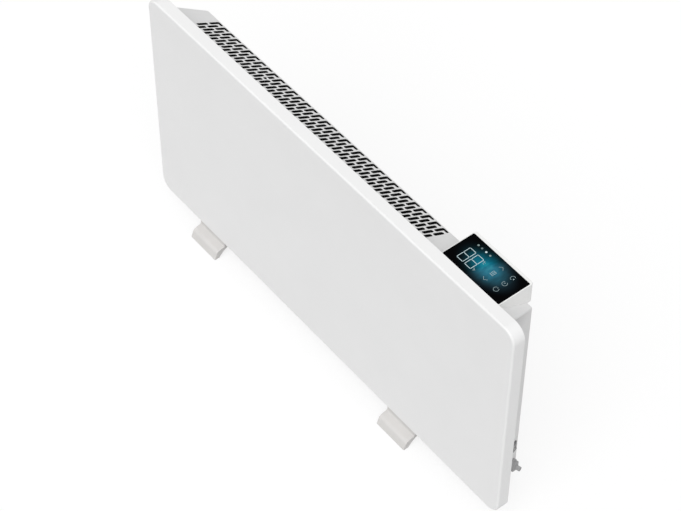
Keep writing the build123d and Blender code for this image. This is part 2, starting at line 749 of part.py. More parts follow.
with BuildPart() as glass_gasket:
    with BuildSketch(Plane.XY.offset(ledge_top_z)):
        with Locations((box_centre_x, glass_y)):
            RectangleRounded(glass_width - 2 * gasket_inset, glass_depth - 2 * gasket_inset,
                             glass_corner - gasket_inset)
            Rectangle(glass_width - 2 * gasket_border, glass_depth - 2 * gasket_border,
                      mode=Mode.SUBTRACT)
    extrude(amount=gasket_thick)
save(glass_gasket, "glass_gasket")

with BuildPart() as touch_glass:
    with BuildSketch(Plane.XY.offset(glass_bottom_z)):
        with Locations((box_centre_x, glass_y)):
            RectangleRounded(glass_width, glass_depth, glass_corner)
    extrude(amount=glass_thick)
    chamfer(touch_glass.faces().sort_by(Axis.Z)[-1].edges(), glass_bevel)
save(touch_glass, "touch_glass")

# ------------------------------------------------------------------ display behind the glass
board_bottom_z = board_top_z - board_thick
digit_module_place = (box_centre_x + digit_module_offset[0], glass_y + digit_module_offset[1])
icon_guide_place = (box_centre_x + icon_guide_offset[0], glass_y + icon_guide_offset[1])

with BuildPart() as display_board:
    with BuildSketch(Plane.XY.offset(board_bottom_z)):
        with Locations((box_centre_x, display_board_y)):
            Rectangle(*display_board_size)
        with Locations(*board_corners):
            Circle(small_screw_radius + press_gap, mode=Mode.SUBTRACT)
    extrude(amount=board_thick)
save(display_board, "display_board")

with BuildPart() as digit_module:
    with BuildSketch(Plane.XY.offset(board_top_z)):
        with Locations(digit_module_place):
            Rectangle(*digit_module_size)
    extrude(amount=module_height)
    chamfer(digit_module.edges().filter_by(Axis.Z), 1.0)
save(digit_module, "digit_module")

with BuildPart() as icon_guide:
    with BuildSketch(Plane.XY.offset(board_top_z)):
        with Locations(icon_guide_place):
            Rectangle(*icon_guide_size)
            with GridLocations(icon_guide_size[0] / 2 - 1.0, icon_guide_size[1] / 3 - 0.7, 2, 3):
                Rectangle(icon_guide_size[0] / 2 - 1.0 - icon_guide_wall,
                          icon_guide_size[1] / 3 - 0.7 - icon_guide_wall, mode=Mode.SUBTRACT)
    extrude(amount=module_height)
save(icon_guide, "icon_guide")

with BuildPart() as indicator_leds:
    with BuildSketch(Plane.XY.offset(board_top_z)):
        with Locations(*[(box_centre_x + x, glass_y + led_row) for x in led_offsets]):
            Rectangle(*led_size[:2])
        with Locations(icon_guide_place):
            with GridLocations(icon_guide_size[0] / 2 - 1.0, icon_guide_size[1] / 3 - 0.7, 2, 3):
                Rectangle(*led_size[:2])
    extrude(amount=led_size[2])
save(indicator_leds, "indicator_leds")

# ------------------------------------------------------------------ rocker switch
bezel_wide, bezel_tall, bezel_proud = bezel_size
body_wide, body_tall, body_deep = switch_body_size
switch_face = wall_plane(switch_y, switch_z, bezel_proud)


def across_switch(u):
    """Upright plane square to the switch's width, at u: sketch X is inward, sketch Y up."""
    return Plane(origin=switch_face.from_local_coords((u, 0, 0)),
                 x_dir=-switch_face.z_dir, z_dir=switch_face.x_dir)


with BuildPart() as rocker_switch_body:
    with BuildSketch(switch_face):
        RectangleRounded(bezel_wide, bezel_tall, 1.5)
    extrude(amount=-(bezel_proud - contact_gap))
    fillet(rocker_switch_body.faces().filter_by(switch_face).sort_by(SortBy.AREA)[-1].edges(), 0.3)
    with BuildSketch(switch_face.offset(contact_gap - bezel_proud)):
        Rectangle(body_wide, body_tall)
    extrude(amount=-body_deep)
    with BuildSketch(across_switch(-4.0)):
        for side in (-1, 1):
            with BuildLine():
                Polyline((bezel_proud + casing_sheet + contact_gap, side * body_tall / 2),
                         (bezel_proud + casing_sheet + contact_gap,
                          side * (body_tall / 2 + snap_proud)),
                         (bezel_proud + casing_sheet + 6.0, side * body_tall / 2), close=True)
            make_face()
    extrude(amount=8.0)
    with BuildSketch(switch_face):
        Rectangle(rocker_width + 2 * rocker_gap, 2 * (rocker_reach + rocker_gap))
    extrude(amount=-switch_well, mode=Mode.SUBTRACT)
    with BuildSketch(across_switch(0)):
        with Locations((pivot_depth, 0)):
            Circle(pivot_radius + pivot_clear)
    extrude(amount=rocker_width / 2 + pivot_length + 0.1, both=True, mode=Mode.SUBTRACT)
save(rocker_switch_body, "rocker_switch_body")

# The rocker is drawn about its pivot, at rest with its upper end pressed in.
tilt = radians(rocker_tilt)
pivot_point = switch_face.from_local_coords((0, 0, -pivot_depth))
rocker_inward = -switch_face.z_dir * cos(tilt) - switch_face.y_dir * sin(tilt)
end_depth = -pivot_depth - rocker_end_rise
middle_depth = -pivot_depth - rocker_middle_rise
skirt_depth = rocker_skirt - pivot_depth
end_half = (rocker_reach ** 2 - end_depth ** 2) ** 0.5
skirt_half = (rocker_reach ** 2 - skirt_depth ** 2) ** 0.5


def across_rocker(u):
    """Side-view plane of the rocker at u: the origin is its pivot, sketch X is inward."""
    return Plane(origin=pivot_point + switch_face.x_dir * u,
                 x_dir=rocker_inward, z_dir=switch_face.x_dir)


with BuildPart() as rocker:
    with BuildSketch(across_rocker(-rocker_width / 2)) as side_view:
        with BuildLine():
            for side in (-1, 1):
                Line((middle_depth, 0), (end_depth, side * end_half))
                ThreePointArc((end_depth, side * end_half), (0, side * rocker_reach),
                              (skirt_depth, side * skirt_half))
            Line((skirt_depth, -skirt_half), (skirt_depth, skirt_half))
        make_face()
        fillet(side_view.vertices().group_by(Axis.X)[0], 0.8)
        fillet(side_view.vertices().sort_by_distance((middle_depth, 0))[0], 6.0)
    extrude(amount=rocker_width)
    with BuildSketch(across_rocker(-rocker_width / 2 + rocker_skin)):
        with Locations(((middle_depth + rocker_skin + 0.4 + skirt_depth) / 2, 0)):
            Rectangle(skirt_depth - middle_depth - rocker_skin - 0.4, 2 * skirt_half - 4.0)
    extrude(amount=rocker_width - 2 * rocker_skin, mode=Mode.SUBTRACT)
    for side in (-1, 1):
        with BuildSketch(across_rocker(side * (rocker_width / 2 - rocker_skin / 2))):
            Circle(pivot_radius)
        extrude(amount=side * (rocker_skin / 2 + pivot_length))
save(rocker, "rocker")

blade_wide, blade_thick, blade_long = blade_size
with BuildPart() as switch_blades:
    with BuildSketch(switch_face.offset(contact_gap - bezel_proud - body_deep)):
        with GridLocations(*blade_pitch, 2, 2):
            Rectangle(blade_thick, blade_wide)
    extrude(amount=-blade_long)
save(switch_blades, "switch_blades")

# ------------------------------------------------------------------ cable gland
gland_face = wall_plane(gland_y, gland_z, contact_gap)
gland_inner_face = wall_plane(gland_y, gland_z, -casing_sheet - contact_gap)


def hexagon(flats, bore):
    """Hexagon of the given size across its flats, with a bore through it."""
    RegularPolygon(flats / 2, 6, major_radius=False, rotation=90)
    Circle(bore, mode=Mode.SUBTRACT)


with BuildPart() as gland_body:
    with BuildSketch(gland_face):
        hexagon(gland_hex, gland_bush_radius + contact_gap)
    extrude(amount=gland_hex_height)
    chamfer(gland_body.faces().filter_by(gland_face).sort_by(SortBy.AREA)[-1].outer_wire().edges(),
            0.5)
    with BuildSketch(gland_face):
        Circle(gland_thread_radius)
        Circle(gland_bush_radius + contact_gap, mode=Mode.SUBTRACT)
    extrude(amount=-gland_thread_length)
save(gland_body, "gland_body")

with BuildPart() as gland_cap:
    with BuildSketch(gland_face.offset(gland_hex_height)):
        hexagon(gland_cap_hex, gland_bush_radius + contact_gap)
    extrude(amount=gland_cap_height)
    chamfer(gland_cap.faces().sort_by(Axis(gland_face.origin, gland_face.z_dir))[-1]
            .outer_wire().edges(), 1.2)
save(gland_cap, "gland_cap")

with BuildPart() as gland_bush:
    with BuildSketch(gland_face.offset(-gland_bush_inside)):
        Circle(gland_bush_radius)
    extrude(amount=gland_bush_inside + gland_bush_reach)
    fillet(gland_bush.edges().sort_by(Axis(gland_face.origin, gland_face.z_dir))[-1],
           gland_bush_round)
    with BuildSketch(gland_face.offset(-gland_bush_inside)):
        Circle(cord_bore_radius)
    extrude(amount=gland_bush_inside + gland_bush_reach, mode=Mode.SUBTRACT)
save(gland_bush, "gland_bush")

with BuildPart() as gland_locknut:
    with BuildSketch(gland_inner_face):
        hexagon(gland_hex, gland_thread_radius + press_gap)
    extrude(amount=-gland_nut_height)
save(gland_locknut, "gland_locknut")

# ------------------------------------------------------------------ feet
stem_y = foot_stem_depth / 2
toe_y = foot_length / 2
sole_y = toe_y - foot_sole
arch_radius = (sole_y ** 2 + foot_arch ** 2) / (2 * foot_arch)
arch_centre_z = foot_arch - arch_radius + pad_proud
seat_low_z = foot_height - contact_gap
seat_high_z = casing_bottom_z - contact_gap
step_y = panel_back_y + fit_gap
pocket_arch_radius = arch_radius + foot_wall
pocket_low_z = arch_centre_z + (pocket_arch_radius ** 2 - (stem_y - foot_wall) ** 2) ** 0.5


def foot(centre):
    """One foot under the body at x = centre."""
    with BuildSketch(at_side(centre - foot_width / 2)) as outline:
        with BuildLine():
            Polyline((step_y, seat_low_z), (-stem_y, seat_low_z), (-stem_y, foot_instep_z + 1.5),
                     (-toe_y + foot_toe_lean, foot_toe_z), (-toe_y, pad_proud),
                     (-sole_y, pad_proud))
            ThreePointArc((-sole_y, pad_proud), (0, foot_arch + pad_proud), (sole_y, pad_proud))
            Polyline((sole_y, pad_proud), (toe_y, pad_proud), (toe_y - foot_toe_lean, foot_toe_z),
                     (stem_y, foot_instep_z + 1.5), (stem_y, seat_high_z), (step_y, seat_high_z),
                     (step_y, seat_low_z))
        make_face()
        for side in (-1, 1):
            ankle = outline.vertices().sort_by_distance((side * stem_y, foot_instep_z + 1.5))[0]
            fillet(ankle, foot_ankle)
            shoulder = outline.vertices().sort_by_distance(
                (side * (toe_y - foot_toe_lean), foot_toe_z))[0]
            fillet(shoulder, foot_shoulder)
            tip = outline.vertices().sort_by_distance((side * toe_y, pad_proud))[0]
            fillet(tip, foot_edge)
    extrude(outline.sketch, amount=foot_width)
    # hollow stem, open to the casing
    with BuildSketch(at_side(centre - foot_width / 2 + foot_wall)) as pocket:
        with BuildLine():
            Polyline((-stem_y + foot_wall, pocket_low_z), (-stem_y + foot_wall, seat_high_z),
                     (stem_y - foot_wall, seat_high_z), (stem_y - foot_wall, pocket_low_z))
            ThreePointArc((stem_y - foot_wall, pocket_low_z),
                          (0, arch_centre_z + pocket_arch_radius),
                          (-stem_y + foot_wall, pocket_low_z))
        make_face()
    extrude(pocket.sketch, amount=foot_width - 2 * foot_wall, mode=Mode.SUBTRACT)
    # bosses for the screws, with their heads sunk from below
    screw_points = [(centre, side * foot_screw_pitch / 2) for side in (-1, 1)]
    with BuildSketch(Plane.XY.offset(foot_arch - 4.0)) as bosses:
        with Locations(*screw_points):
            Circle(foot_boss_radius)
    extrude(bosses.sketch, amount=seat_high_z - foot_arch + 4.0)
    with BuildSketch(Plane.XY.offset(foot_screw_seat_z)) as seats:
        with Locations(*screw_points):
            Circle(screw_head_radius + 0.5)
    extrude(seats.sketch, amount=-foot_screw_seat_z, mode=Mode.SUBTRACT)
    with BuildSketch(Plane.XY.offset(foot_screw_seat_z)) as holes:
        with Locations(*screw_points):
            Circle(screw_radius + screw_clear)
    extrude(holes.sketch, amount=foot_height, mode=Mode.SUBTRACT)
    # grooves for the pads
    with BuildSketch(Plane.XY) as grooves:
        with Locations(*[(centre, side * (toe_y - foot_sole / 2)) for side in (-1, 1)]):
            Rectangle(pad_length + 2 * contact_gap, pad_width + 2 * contact_gap)
    extrude(grooves.sketch, amount=pad_thick, mode=Mode.SUBTRACT)


def round_end(body, end):
    """Rounds the outline of a foot's end face: 0 for its left end, -1 for its right end."""
    face = body.faces().group_by(Axis.X)[end].sort_by(SortBy.AREA)[-1]
    fillet(face.outer_wire().edges(), foot_edge)


with BuildPart() as left_foot:
    foot(foot_centres[0])
    round_end(left_foot, 0)
    round_end(left_foot, -1)
save(left_foot, "left_foot")

with BuildPart() as right_foot:
    foot(foot_centres[1])
    round_end(right_foot, 0)
    round_end(right_foot, -1)
save(right_foot, "right_foot")

with BuildPart() as foot_screws_part:
    with Locations(*[Plane(origin=(x, y, foot_screw_seat_z), z_dir=(0, 0, -1))
                     for x, y in foot_screws]):
        pan_screw(floor_inner_z - foot_screw_seat_z + 3.0)
save(foot_screws_part, "foot_screws")

with BuildPart() as foot_pads:
    with BuildSketch(Plane.XY):
        with Locations(*[(centre, side * (toe_y - foot_sole / 2))
                         for centre in foot_centres for side in (-1, 1)]):
            RectangleRounded(pad_length, pad_width, 1.5)
    extrude(amount=pad_thick)
save(foot_pads, "foot_pads")

# ------------------------------------------------------------------ power board
board_back_y = rear_inner_y - spacer_height
board_front_y = board_back_y - board_thick
board_screw_points = [(board_x + i * (power_board_size[0] / 2 - power_board_screw_inset),
                       board_z + j * (power_board_size[1] / 2 - power_board_screw_inset))
                      for i in (-1, 1) for j in (-1, 1)]

with BuildPart() as board_spacers:
    with BuildSketch(at_depth(rear_inner_y)):
        with Locations(*board_screw_points):
            RegularPolygon(spacer_radius, 6)
            Circle(small_screw_radius + press_gap, mode=Mode.SUBTRACT)
    extrude(amount=spacer_height)
save(board_spacers, "board_spacers")

with BuildPart() as power_board:
    with BuildSketch(at_depth(board_back_y)):
        with Locations((board_x, board_z)):
            RectangleRounded(*power_board_size, 2.0)
        with Locations(*board_screw_points):
            Circle(small_screw_radius + press_gap, mode=Mode.SUBTRACT)
    extrude(amount=board_thick)
save(power_board, "power_board")

with BuildPart() as board_screws:
    with Locations(*[Plane(origin=(x, board_front_y, z), z_dir=(0, -1, 0))
                     for x, z in board_screw_points],
                   *[Plane(origin=(x, y, board_bottom_z), z_dir=(0, 0, -1))
                     for x, y in board_corners]):
        pan_screw(board_thick + 4.5, small_screw_radius, small_head_radius, 1.5)
save(board_screws, "board_screws")


def on_board(x, z):
    """Place on the power board's front, from the board's centre: local Z stands off it."""
    return Plane(origin=(board_x + x, board_front_y, board_z + z), x_dir=(1, 0, 0),
                 z_dir=(0, -1, 0))


seated = (Align.CENTER, Align.CENTER, Align.MIN)

with BuildPart() as standby_transformer:
    with Locations(on_board(-20, 13)):
        Box(30, 26, 20, align=seated)
        chamfer(standby_transformer.faces().sort_by(Axis.Y)[0].edges(), 1.5)
save(standby_transformer, "standby_transformer")

with BuildPart() as power_relays:
    with Locations(on_board(-26, -22), on_board(0, -22)):
        Box(19, 15.5, 15, align=seated)
    fillet(power_relays.edges().filter_by(Axis.Y), 0.8)
save(power_relays, "power_relays")

with BuildPart() as filter_capacitor:
    with Locations(on_board(25, -10)):
        Box(18, 8, 14, align=seated)
    fillet(filter_capacitor.edges().filter_by(Axis.Y), 1.0)
save(filter_capacitor, "filter_capacitor")

with BuildPart() as smoothing_capacitor:
    with Locations(on_board(15, 13)):
        Cylinder(5, 16, align=seated)
    fillet(smoothing_capacitor.faces().sort_by(Axis.Y)[0].edges(), 0.6)
save(smoothing_capacitor, "smoothing_capacitor")

with BuildPart() as board_fuse:
    with Locations(on_board(25, -27)):
        with Locations((0, 0, 3.1)):
            Cylinder(2.5, 20, rotation=(0, 90, 0))
save(board_fuse, "board_fuse")

with BuildPart() as fuse_clips:
    with Locations(on_board(25 - 7.5, -27), on_board(25 + 7.5, -27)):
        Box(4, 7, 5.5, align=seated)
        with Locations((0, 0, 3.1)):
            Cylinder(2.55, 6, rotation=(0, 90, 0), mode=Mode.SUBTRACT)
            Box(6, 3.4, 6, align=seated, mode=Mode.SUBTRACT)
save(fuse_clips, "fuse_clips")

connector_drop = -46.0
lead_entry_y = board_front_y - 5.0
with BuildPart() as board_connector:
    with Locations(on_board(0, connector_drop)):
        Box(66, 12, 10, align=seated)
    with BuildSketch(Plane.XY.offset(board_z + connector_drop - 6.0)):
        with Locations((board_x, lead_entry_y)):
            with GridLocations(connector_pitch, 0, 5, 1):
                Rectangle(5.0, 5.0)
    extrude(amount=wire_seat, mode=Mode.SUBTRACT)
save(board_connector, "board_connector")

# ------------------------------------------------------------------ mains terminals
block_x, block_z = block_centre
block_wide, block_tall, block_deep = terminal_block_size
block_back_y = rear_inner_y - contact_gap
block_entry_y = block_back_y - 8.5

with BuildPart() as terminal_block:
    with BuildSketch(at_depth(block_back_y)):
        with Locations(block_centre):
            RectangleRounded(block_wide, block_tall, 1.0)
        with Locations(block_screw_point):
            Circle(screw_radius + press_gap, mode=Mode.SUBTRACT)
    extrude(amount=block_deep)
    for row in (-1, 1):
        with BuildSketch(at_depth(block_back_y - block_deep)):
            with Locations((block_x, block_z + row * clamp_row)):
                with GridLocations(pole_pitch, 0, 3, 1):
                    Circle(2.2)
        extrude(amount=-clamp_depth, mode=Mode.SUBTRACT)
        with BuildSketch(Plane.XY.offset(block_z + row * block_tall / 2)):
            with Locations((block_x, block_entry_y)):
                with GridLocations(pole_pitch, 0, 3, 1):
                    Circle(2.4)
        extrude(amount=-row * wire_seat, mode=Mode.SUBTRACT)
save(terminal_block, "terminal_block")

with BuildPart() as terminal_screws:
    with Locations(*[Plane(origin=(block_x + i * pole_pitch, block_back_y - block_deep + clamp_depth,
                                   block_z + j * clamp_row), z_dir=(0, -1, 0))
                     for i in (-1, 0, 1) for j in (-1, 1)]):
        Cylinder(clamp_screw_radius, 4.5, align=seated)
        with Locations((0, 0, 4.5)):
            Box(4.4, 0.8, 1.6, mode=Mode.SUBTRACT)
save(terminal_screws, "terminal_screws")

with BuildPart() as terminal_block_screw:
    with Locations(Plane(origin=(block_screw_point[0], rear_y, block_z), z_dir=(0, 1, 0))):
        pan_screw(12.0)
save(terminal_block_screw, "terminal_block_screw")

with BuildPart() as earth_screw:
    with Locations(Plane(origin=(earth_point[0], rear_y, earth_point[1]), z_dir=(0, 1, 0))):
        pan_screw(8.0)
save(earth_screw, "earth_screw")

# ------------------------------------------------------------------ temperature sensor
sensor_x = box_centre_x + sensor_offset
sensor_z = floor_inner_z + sensor_lift

with BuildPart() as sensor_clip:
    with Locations((sensor_x, 0, floor_inner_z)):
        Box(10, 12, 10, align=seated)
        with Locations((0, 0, sensor_lift)):
            Cylinder(sensor_radius + press_gap, 12, rotation=(0, 90, 0), mode=Mode.SUBTRACT)
            Box(12, 3.6, 5, align=seated, mode=Mode.SUBTRACT)
save(sensor_clip, "sensor_clip")

with BuildPart() as temperature_sensor:
    with Locations((sensor_x, 0, sensor_z)):
        Cylinder(sensor_radius, 24, rotation=(0, 90, 0))
    fillet(temperature_sensor.edges(), 0.8)
save(temperature_sensor, "temperature_sensor")

# ------------------------------------------------------------------ leads
entry_z = board_z + connector_drop - 6.0
stud_tip = rod_right_x + stud_length
cutout_y = shield_face_y - cutout_height / 2 - cutout_flange / 2
cutout_x, cutout_z = cutout_place
blade_reach = cutout_radius + cutout_blade


def entry(pole):
    """Where a lead goes up into the power board's connector, by pole from its middle."""
    return (board_x + pole * connector_pitch, lead_entry_y, entry_z + wire_seat)


def blade_tip(i, j):
    """Inner end of one of the switch's blades."""
    depth = contact_gap - bezel_proud - body_deep - blade_long
    return switch_face.from_local_coords((i * blade_pitch[0] / 2, j * blade_pitch[1] / 2, depth))


with BuildPart() as element_lead:
    insulated_lead([(stud_tip, element_y, element_z), (stud_tip + 12, element_y, element_z),
                    (stud_tip + 12, cutout_y, cutout_z), (cutout_x + blade_reach, cutout_y, cutout_z)],
                   lead_bend)
save(element_lead, "element_lead")

with BuildPart() as cutout_lead:
    near_y, near_z = near_grommet
    insulated_lead([(cutout_x - blade_reach, cutout_y, cutout_z),
                    (cutout_x - blade_reach - 12, cutout_y, cutout_z),
                    (cutout_x - blade_reach - 12, near_y, near_z),
                    (partition_x + 12, near_y, near_z),
                    (partition_x + 12, near_y, entry_z - 13),
                    (board_x - 2 * connector_pitch, lead_entry_y, entry_z - 13), entry(-2)], lead_bend)
save(cutout_lead, "cutout_lead")

with BuildPart() as return_lead:
    far_y, far_z = far_grommet
    return_x = rod_left_x - stud_length
    insulated_lead([(return_x, element_y, element_z), (return_x - 12, element_y, element_z),
                    (return_x - 12, far_y, far_z), (partition_x + 18, far_y, far_z),
                    (partition_x + 18, lead_entry_y, entry_z - 23),
                    (board_x - connector_pitch, lead_entry_y, entry_z - 23), entry(-1)], lead_bend)
save(return_lead, "return_lead")

with BuildPart() as supply_leads:
    for i, pole in ((1, 1), (-1, 0)):
        tip = blade_tip(i, -1)
        turn = tip - switch_face.z_dir * 14.0
        pole_x = block_x + pole * pole_pitch
        pole_top = block_z + block_tall / 2
        insulated_lead([tip, turn, (pole_x, block_entry_y, tip.Z),
                        (pole_x, block_entry_y, pole_top - wire_seat)], lead_bend)
save(supply_leads, "supply_leads")

with BuildPart() as switch_leads:
    for i, pole in ((1, 2), (-1, 1)):
        tip = blade_tip(i, 1)
        turn = tip - switch_face.z_dir * 14.0
        goal = entry(pole)
        insulated_lead([tip, turn, (goal[0], goal[1], tip.Z), goal], lead_bend)
save(switch_leads, "switch_leads")

with BuildPart() as sensor_lead:
    sensor_end = (sensor_x + 12, 0, sensor_z)
    goal = entry(0)
    insulated_lead([sensor_end, (goal[0], 0, sensor_z), (goal[0], 0, entry_z - 63),
                    (goal[0], goal[1], entry_z - 23), goal], lead_bend, sensor_lead_radius)
save(sensor_lead, "sensor_lead")

tag_y = rear_inner_y - 1.0
with BuildPart() as earth_lead:
    with BuildSketch(at_depth(rear_inner_y)):
        with Locations(earth_point):
            Circle(4.5)
            with Locations((0, 6.0)):
                Rectangle(4.0, 8.0)
            Circle(screw_radius + press_gap, mode=Mode.SUBTRACT)
    extrude(amount=1.0)
    insulated_lead([(earth_point[0], tag_y - lead_radius + 0.5, earth_point[1] + 7),
                    (earth_point[0], tag_y - lead_radius + 0.5, earth_point[1] + 22),
                    (block_x - pole_pitch, block_entry_y, earth_point[1] + 22),
                    (block_x - pole_pitch, block_entry_y, block_z + block_tall / 2 - wire_seat)],
                   lead_bend)
save(earth_lead, "earth_lead")

ribbon_x = box_centre_x + 10.0
ribbon_y = 20.0
plug_z = board_z + 45.0
with BuildPart() as ribbon_plugs:
    with Locations((ribbon_x, ribbon_y, board_bottom_z)):
        Box(18, 6, 5, align=(Align.CENTER, Align.CENTER, Align.MAX))
    with Locations((ribbon_x, board_front_y, plug_z)):
        Box(18, 6, 8, align=(Align.CENTER, Align.MAX, Align.CENTER))
save(ribbon_plugs, "ribbon_plugs")

with BuildPart() as display_ribbon:
    with BuildLine() as ribbon_route:
        FilletPolyline((ribbon_x, ribbon_y, board_bottom_z - 5.0), (ribbon_x, ribbon_y, board_z + 95),
                       (ribbon_x, board_front_y - 3.0, board_z + 75),
                       (ribbon_x, board_front_y - 3.0, plug_z + 4.0), radius=6.0)
    with BuildSketch(Plane(origin=ribbon_route.line @ 0, x_dir=(1, 0, 0), z_dir=(0, 0, -1))):
        Rectangle(14.0, 0.9)
    sweep(path=ribbon_route.line)
save(display_ribbon, "display_ribbon")
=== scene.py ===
# %% [markdown]
# # Wall panel convector heater
# The heater is a folded steel front panel with a slotted sheet-steel casing behind it, a small
# control box with a touch glass on the casing's right end, and two low feet.
# The construction model already holds every piece in its true place and size, so this lesson
# loads it as a fixed frame and dresses it: a camera, soft light, a finish for each material and
# the few things that only show on the surface, such as the lit digits behind the glass.

# %% The frame
from math import cos, pi, radians, sin

import bpy
import bmesh
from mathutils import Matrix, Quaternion, Vector


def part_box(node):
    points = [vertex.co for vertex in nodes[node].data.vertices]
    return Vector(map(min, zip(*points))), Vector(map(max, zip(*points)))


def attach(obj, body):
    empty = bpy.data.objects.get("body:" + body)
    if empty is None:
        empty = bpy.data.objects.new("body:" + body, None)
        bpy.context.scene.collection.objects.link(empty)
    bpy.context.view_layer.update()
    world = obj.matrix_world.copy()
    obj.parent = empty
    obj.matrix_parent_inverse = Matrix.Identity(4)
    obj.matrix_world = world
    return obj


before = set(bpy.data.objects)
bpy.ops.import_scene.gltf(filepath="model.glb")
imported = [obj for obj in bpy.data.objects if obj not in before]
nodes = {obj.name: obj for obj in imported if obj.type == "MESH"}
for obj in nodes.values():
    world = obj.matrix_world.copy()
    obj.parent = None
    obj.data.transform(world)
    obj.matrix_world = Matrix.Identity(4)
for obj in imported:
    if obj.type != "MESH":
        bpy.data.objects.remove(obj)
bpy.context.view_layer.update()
MM = 0.001

# %% [markdown]
# ## Measuring the frame
# Sizes are read from the pieces themselves, so nothing here has to be fitted by eye. A box is
# enough for most of them. A sloped wall is found by its faces: all faces that look nearly the
# same way are gathered, and the outermost of them gives the wall's plane.

# %% Places read from the frame
glass_low, glass_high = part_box("touch_glass")
glass_middle = (glass_low + glass_high) / 2
glass_face_z = glass_high.z


def faces_towards(node, way, nearness):
    """Faces of a piece whose normals are within an angle of that way, given by its cosine."""
    rough = Vector(way).normalized()
    return [f for f in nodes[node].data.polygons if f.normal.dot(rough) > nearness]


def wall_plane(node, way, nearness=0.985):
    """Outward normal of a piece's wall that looks roughly that way, and its distance."""
    faces = faces_towards(node, way, nearness)
    total = Vector((0, 0, 0))
    for face in faces:
        total += face.normal * face.area
    normal = total.normalized()
    return normal, max(face.center.dot(normal) for face in faces)


casing_walls = [wall_plane("rear_casing", way) for way in (
    (0, 1, 0), (0, 0, -1), (0, 0.46, 0.89), (0.96, 0.28, 0), (-0.96, 0.28, 0))]
for normal, distance in casing_walls:
    print("casing wall", [round(c, 4) for c in normal], "at", round(distance / MM, 2), "mm")

# %% [markdown]
# ## Camera
# The photograph looks down on the heater from its front right. The camera stands where the
# panel's corners and the glass line up with the photograph, about three and a half metres away
# with a long lens, and is rolled by a quarter of a degree.

# %% Camera
view_from = Vector((1.807619, -1.446559, 2.961206))
view_at = Vector((0.054798, -0.0415, 0.309046))
view_roll = radians(0.2457)

camera_data = bpy.data.cameras.new("view")
camera_data.lens = 116.94
camera_data.sensor_width = 36.0
camera_data.clip_end = 100.0
camera = bpy.data.objects.new("view", camera_data)
bpy.context.scene.collection.objects.link(camera)
camera.location = view_from
camera.rotation_mode = "QUATERNION"
level_turn = (view_at - view_from).to_track_quat("-Z", "Y")
camera.rotation_quaternion = level_turn @ Quaternion((0, 0, 1), view_roll)
bpy.context.scene.camera = camera
camera_right = camera.rotation_quaternion @ Vector((1, 0, 0))
print("camera's right hand looks along", [round(c, 5) for c in camera_right])

# %% [markdown]
# ## Lamp and white room
# A white catalogue picture is lit by one very large soft lamp near the camera and by white
# walls all round. One sun lamp with a wide angle stands for the lamp, and the world for the
# walls. The world lights the object at half strength, and only the camera, glossy and see-through
# rays meet it at full white, so the background is white without more light on the object.
# The view transform is Standard, so that a colour comes out as it is written.

# %% Lamp and white room
bpy.context.scene.view_settings.view_transform = "Standard"
sun_way = Vector((-0.344, 0.501, -0.794))
sun_strength = 1.90
sun_angle = radians(50)
sky_strength = 0.55

sun_data = bpy.data.lights.new("soft_lamp", "SUN")
sun_data.energy = sun_strength
sun_data.angle = sun_angle
sun = bpy.data.objects.new("soft_lamp", sun_data)
bpy.context.scene.collection.objects.link(sun)
sun.rotation_mode = "QUATERNION"
sun.rotation_quaternion = sun_way.to_track_quat("-Z", "Y")


def seen_ray(tree):
    """1 for rays of the camera, of glossy surfaces and of see-through ones, and otherwise 0."""
    path = tree.nodes.new("ShaderNodeLightPath")
    total = path.outputs["Is Camera Ray"]
    for name in ("Is Glossy Ray", "Is Transmission Ray"):
        either = tree.nodes.new("ShaderNodeMath")
        either.operation = "MAXIMUM"
        tree.links.new(total, either.inputs[0])
        tree.links.new(path.outputs[name], either.inputs[1])
        total = either.outputs[0]
    return total


world = bpy.data.worlds.new("white_room")
world.use_nodes = True
bpy.context.scene.world = world
sky = world.node_tree.nodes["Background"]
sky.inputs["Color"].default_value = (1, 1, 1, 1)
sky_level = world.node_tree.nodes.new("ShaderNodeMapRange")
world.node_tree.links.new(seen_ray(world.node_tree), sky_level.inputs["Value"])
sky_level.inputs["To Min"].default_value = sky_strength
sky_level.inputs["To Max"].default_value = 1.0
world.node_tree.links.new(sky_level.outputs[0], sky.inputs["Strength"])
print("lamp strength", sun_strength, "world", sky_strength)

# %% [markdown]
# ## Floor
# The heater stands on a white sweep. Its paint uses the same switch as the world: it is white to
# the eye and greyer to the light that it bounces. To the eye most of its white is its own, as on
# a light table, so the heater's shadow is there but faint.

# %% Floor
floor_reach = 15.0
floor_glow = 0.80
floor_seen = 0.20
floor_bounce = 0.54

floor_mesh = bpy.data.meshes.new("floor")
floor_mesh.from_pydata([(-floor_reach, -floor_reach, 0), (floor_reach, -floor_reach, 0),
                        (floor_reach, floor_reach, 0), (-floor_reach, floor_reach, 0)],
                       [], [(0, 1, 2, 3)])
floor = bpy.data.objects.new("floor", floor_mesh)
bpy.context.scene.collection.objects.link(floor)
floor_paint = bpy.data.materials.new("studio_floor")
floor_paint.use_nodes = True
floor_tree = floor_paint.node_tree
floor_skin = floor_tree.nodes["Principled BSDF"]
floor_skin.inputs["Roughness"].default_value = 0.9
floor_skin.inputs["Specular IOR Level"].default_value = 0.0
floor_eye = seen_ray(floor_tree)
for socket, unseen, seen in (("Base Color", floor_bounce, floor_seen),
                             ("Emission Strength", 0.0, floor_glow)):
    shade = floor_tree.nodes.new("ShaderNodeMapRange")
    floor_tree.links.new(floor_eye, shade.inputs["Value"])
    shade.inputs["To Min"].default_value = unseen
    shade.inputs["To Max"].default_value = seen
    floor_tree.links.new(shade.outputs[0], floor_skin.inputs[socket])
floor_skin.inputs["Emission Color"].default_value = (1, 1, 1, 1)
floor_mesh.materials.append(floor_paint)
print("floor reaches", floor_reach, "m each way")

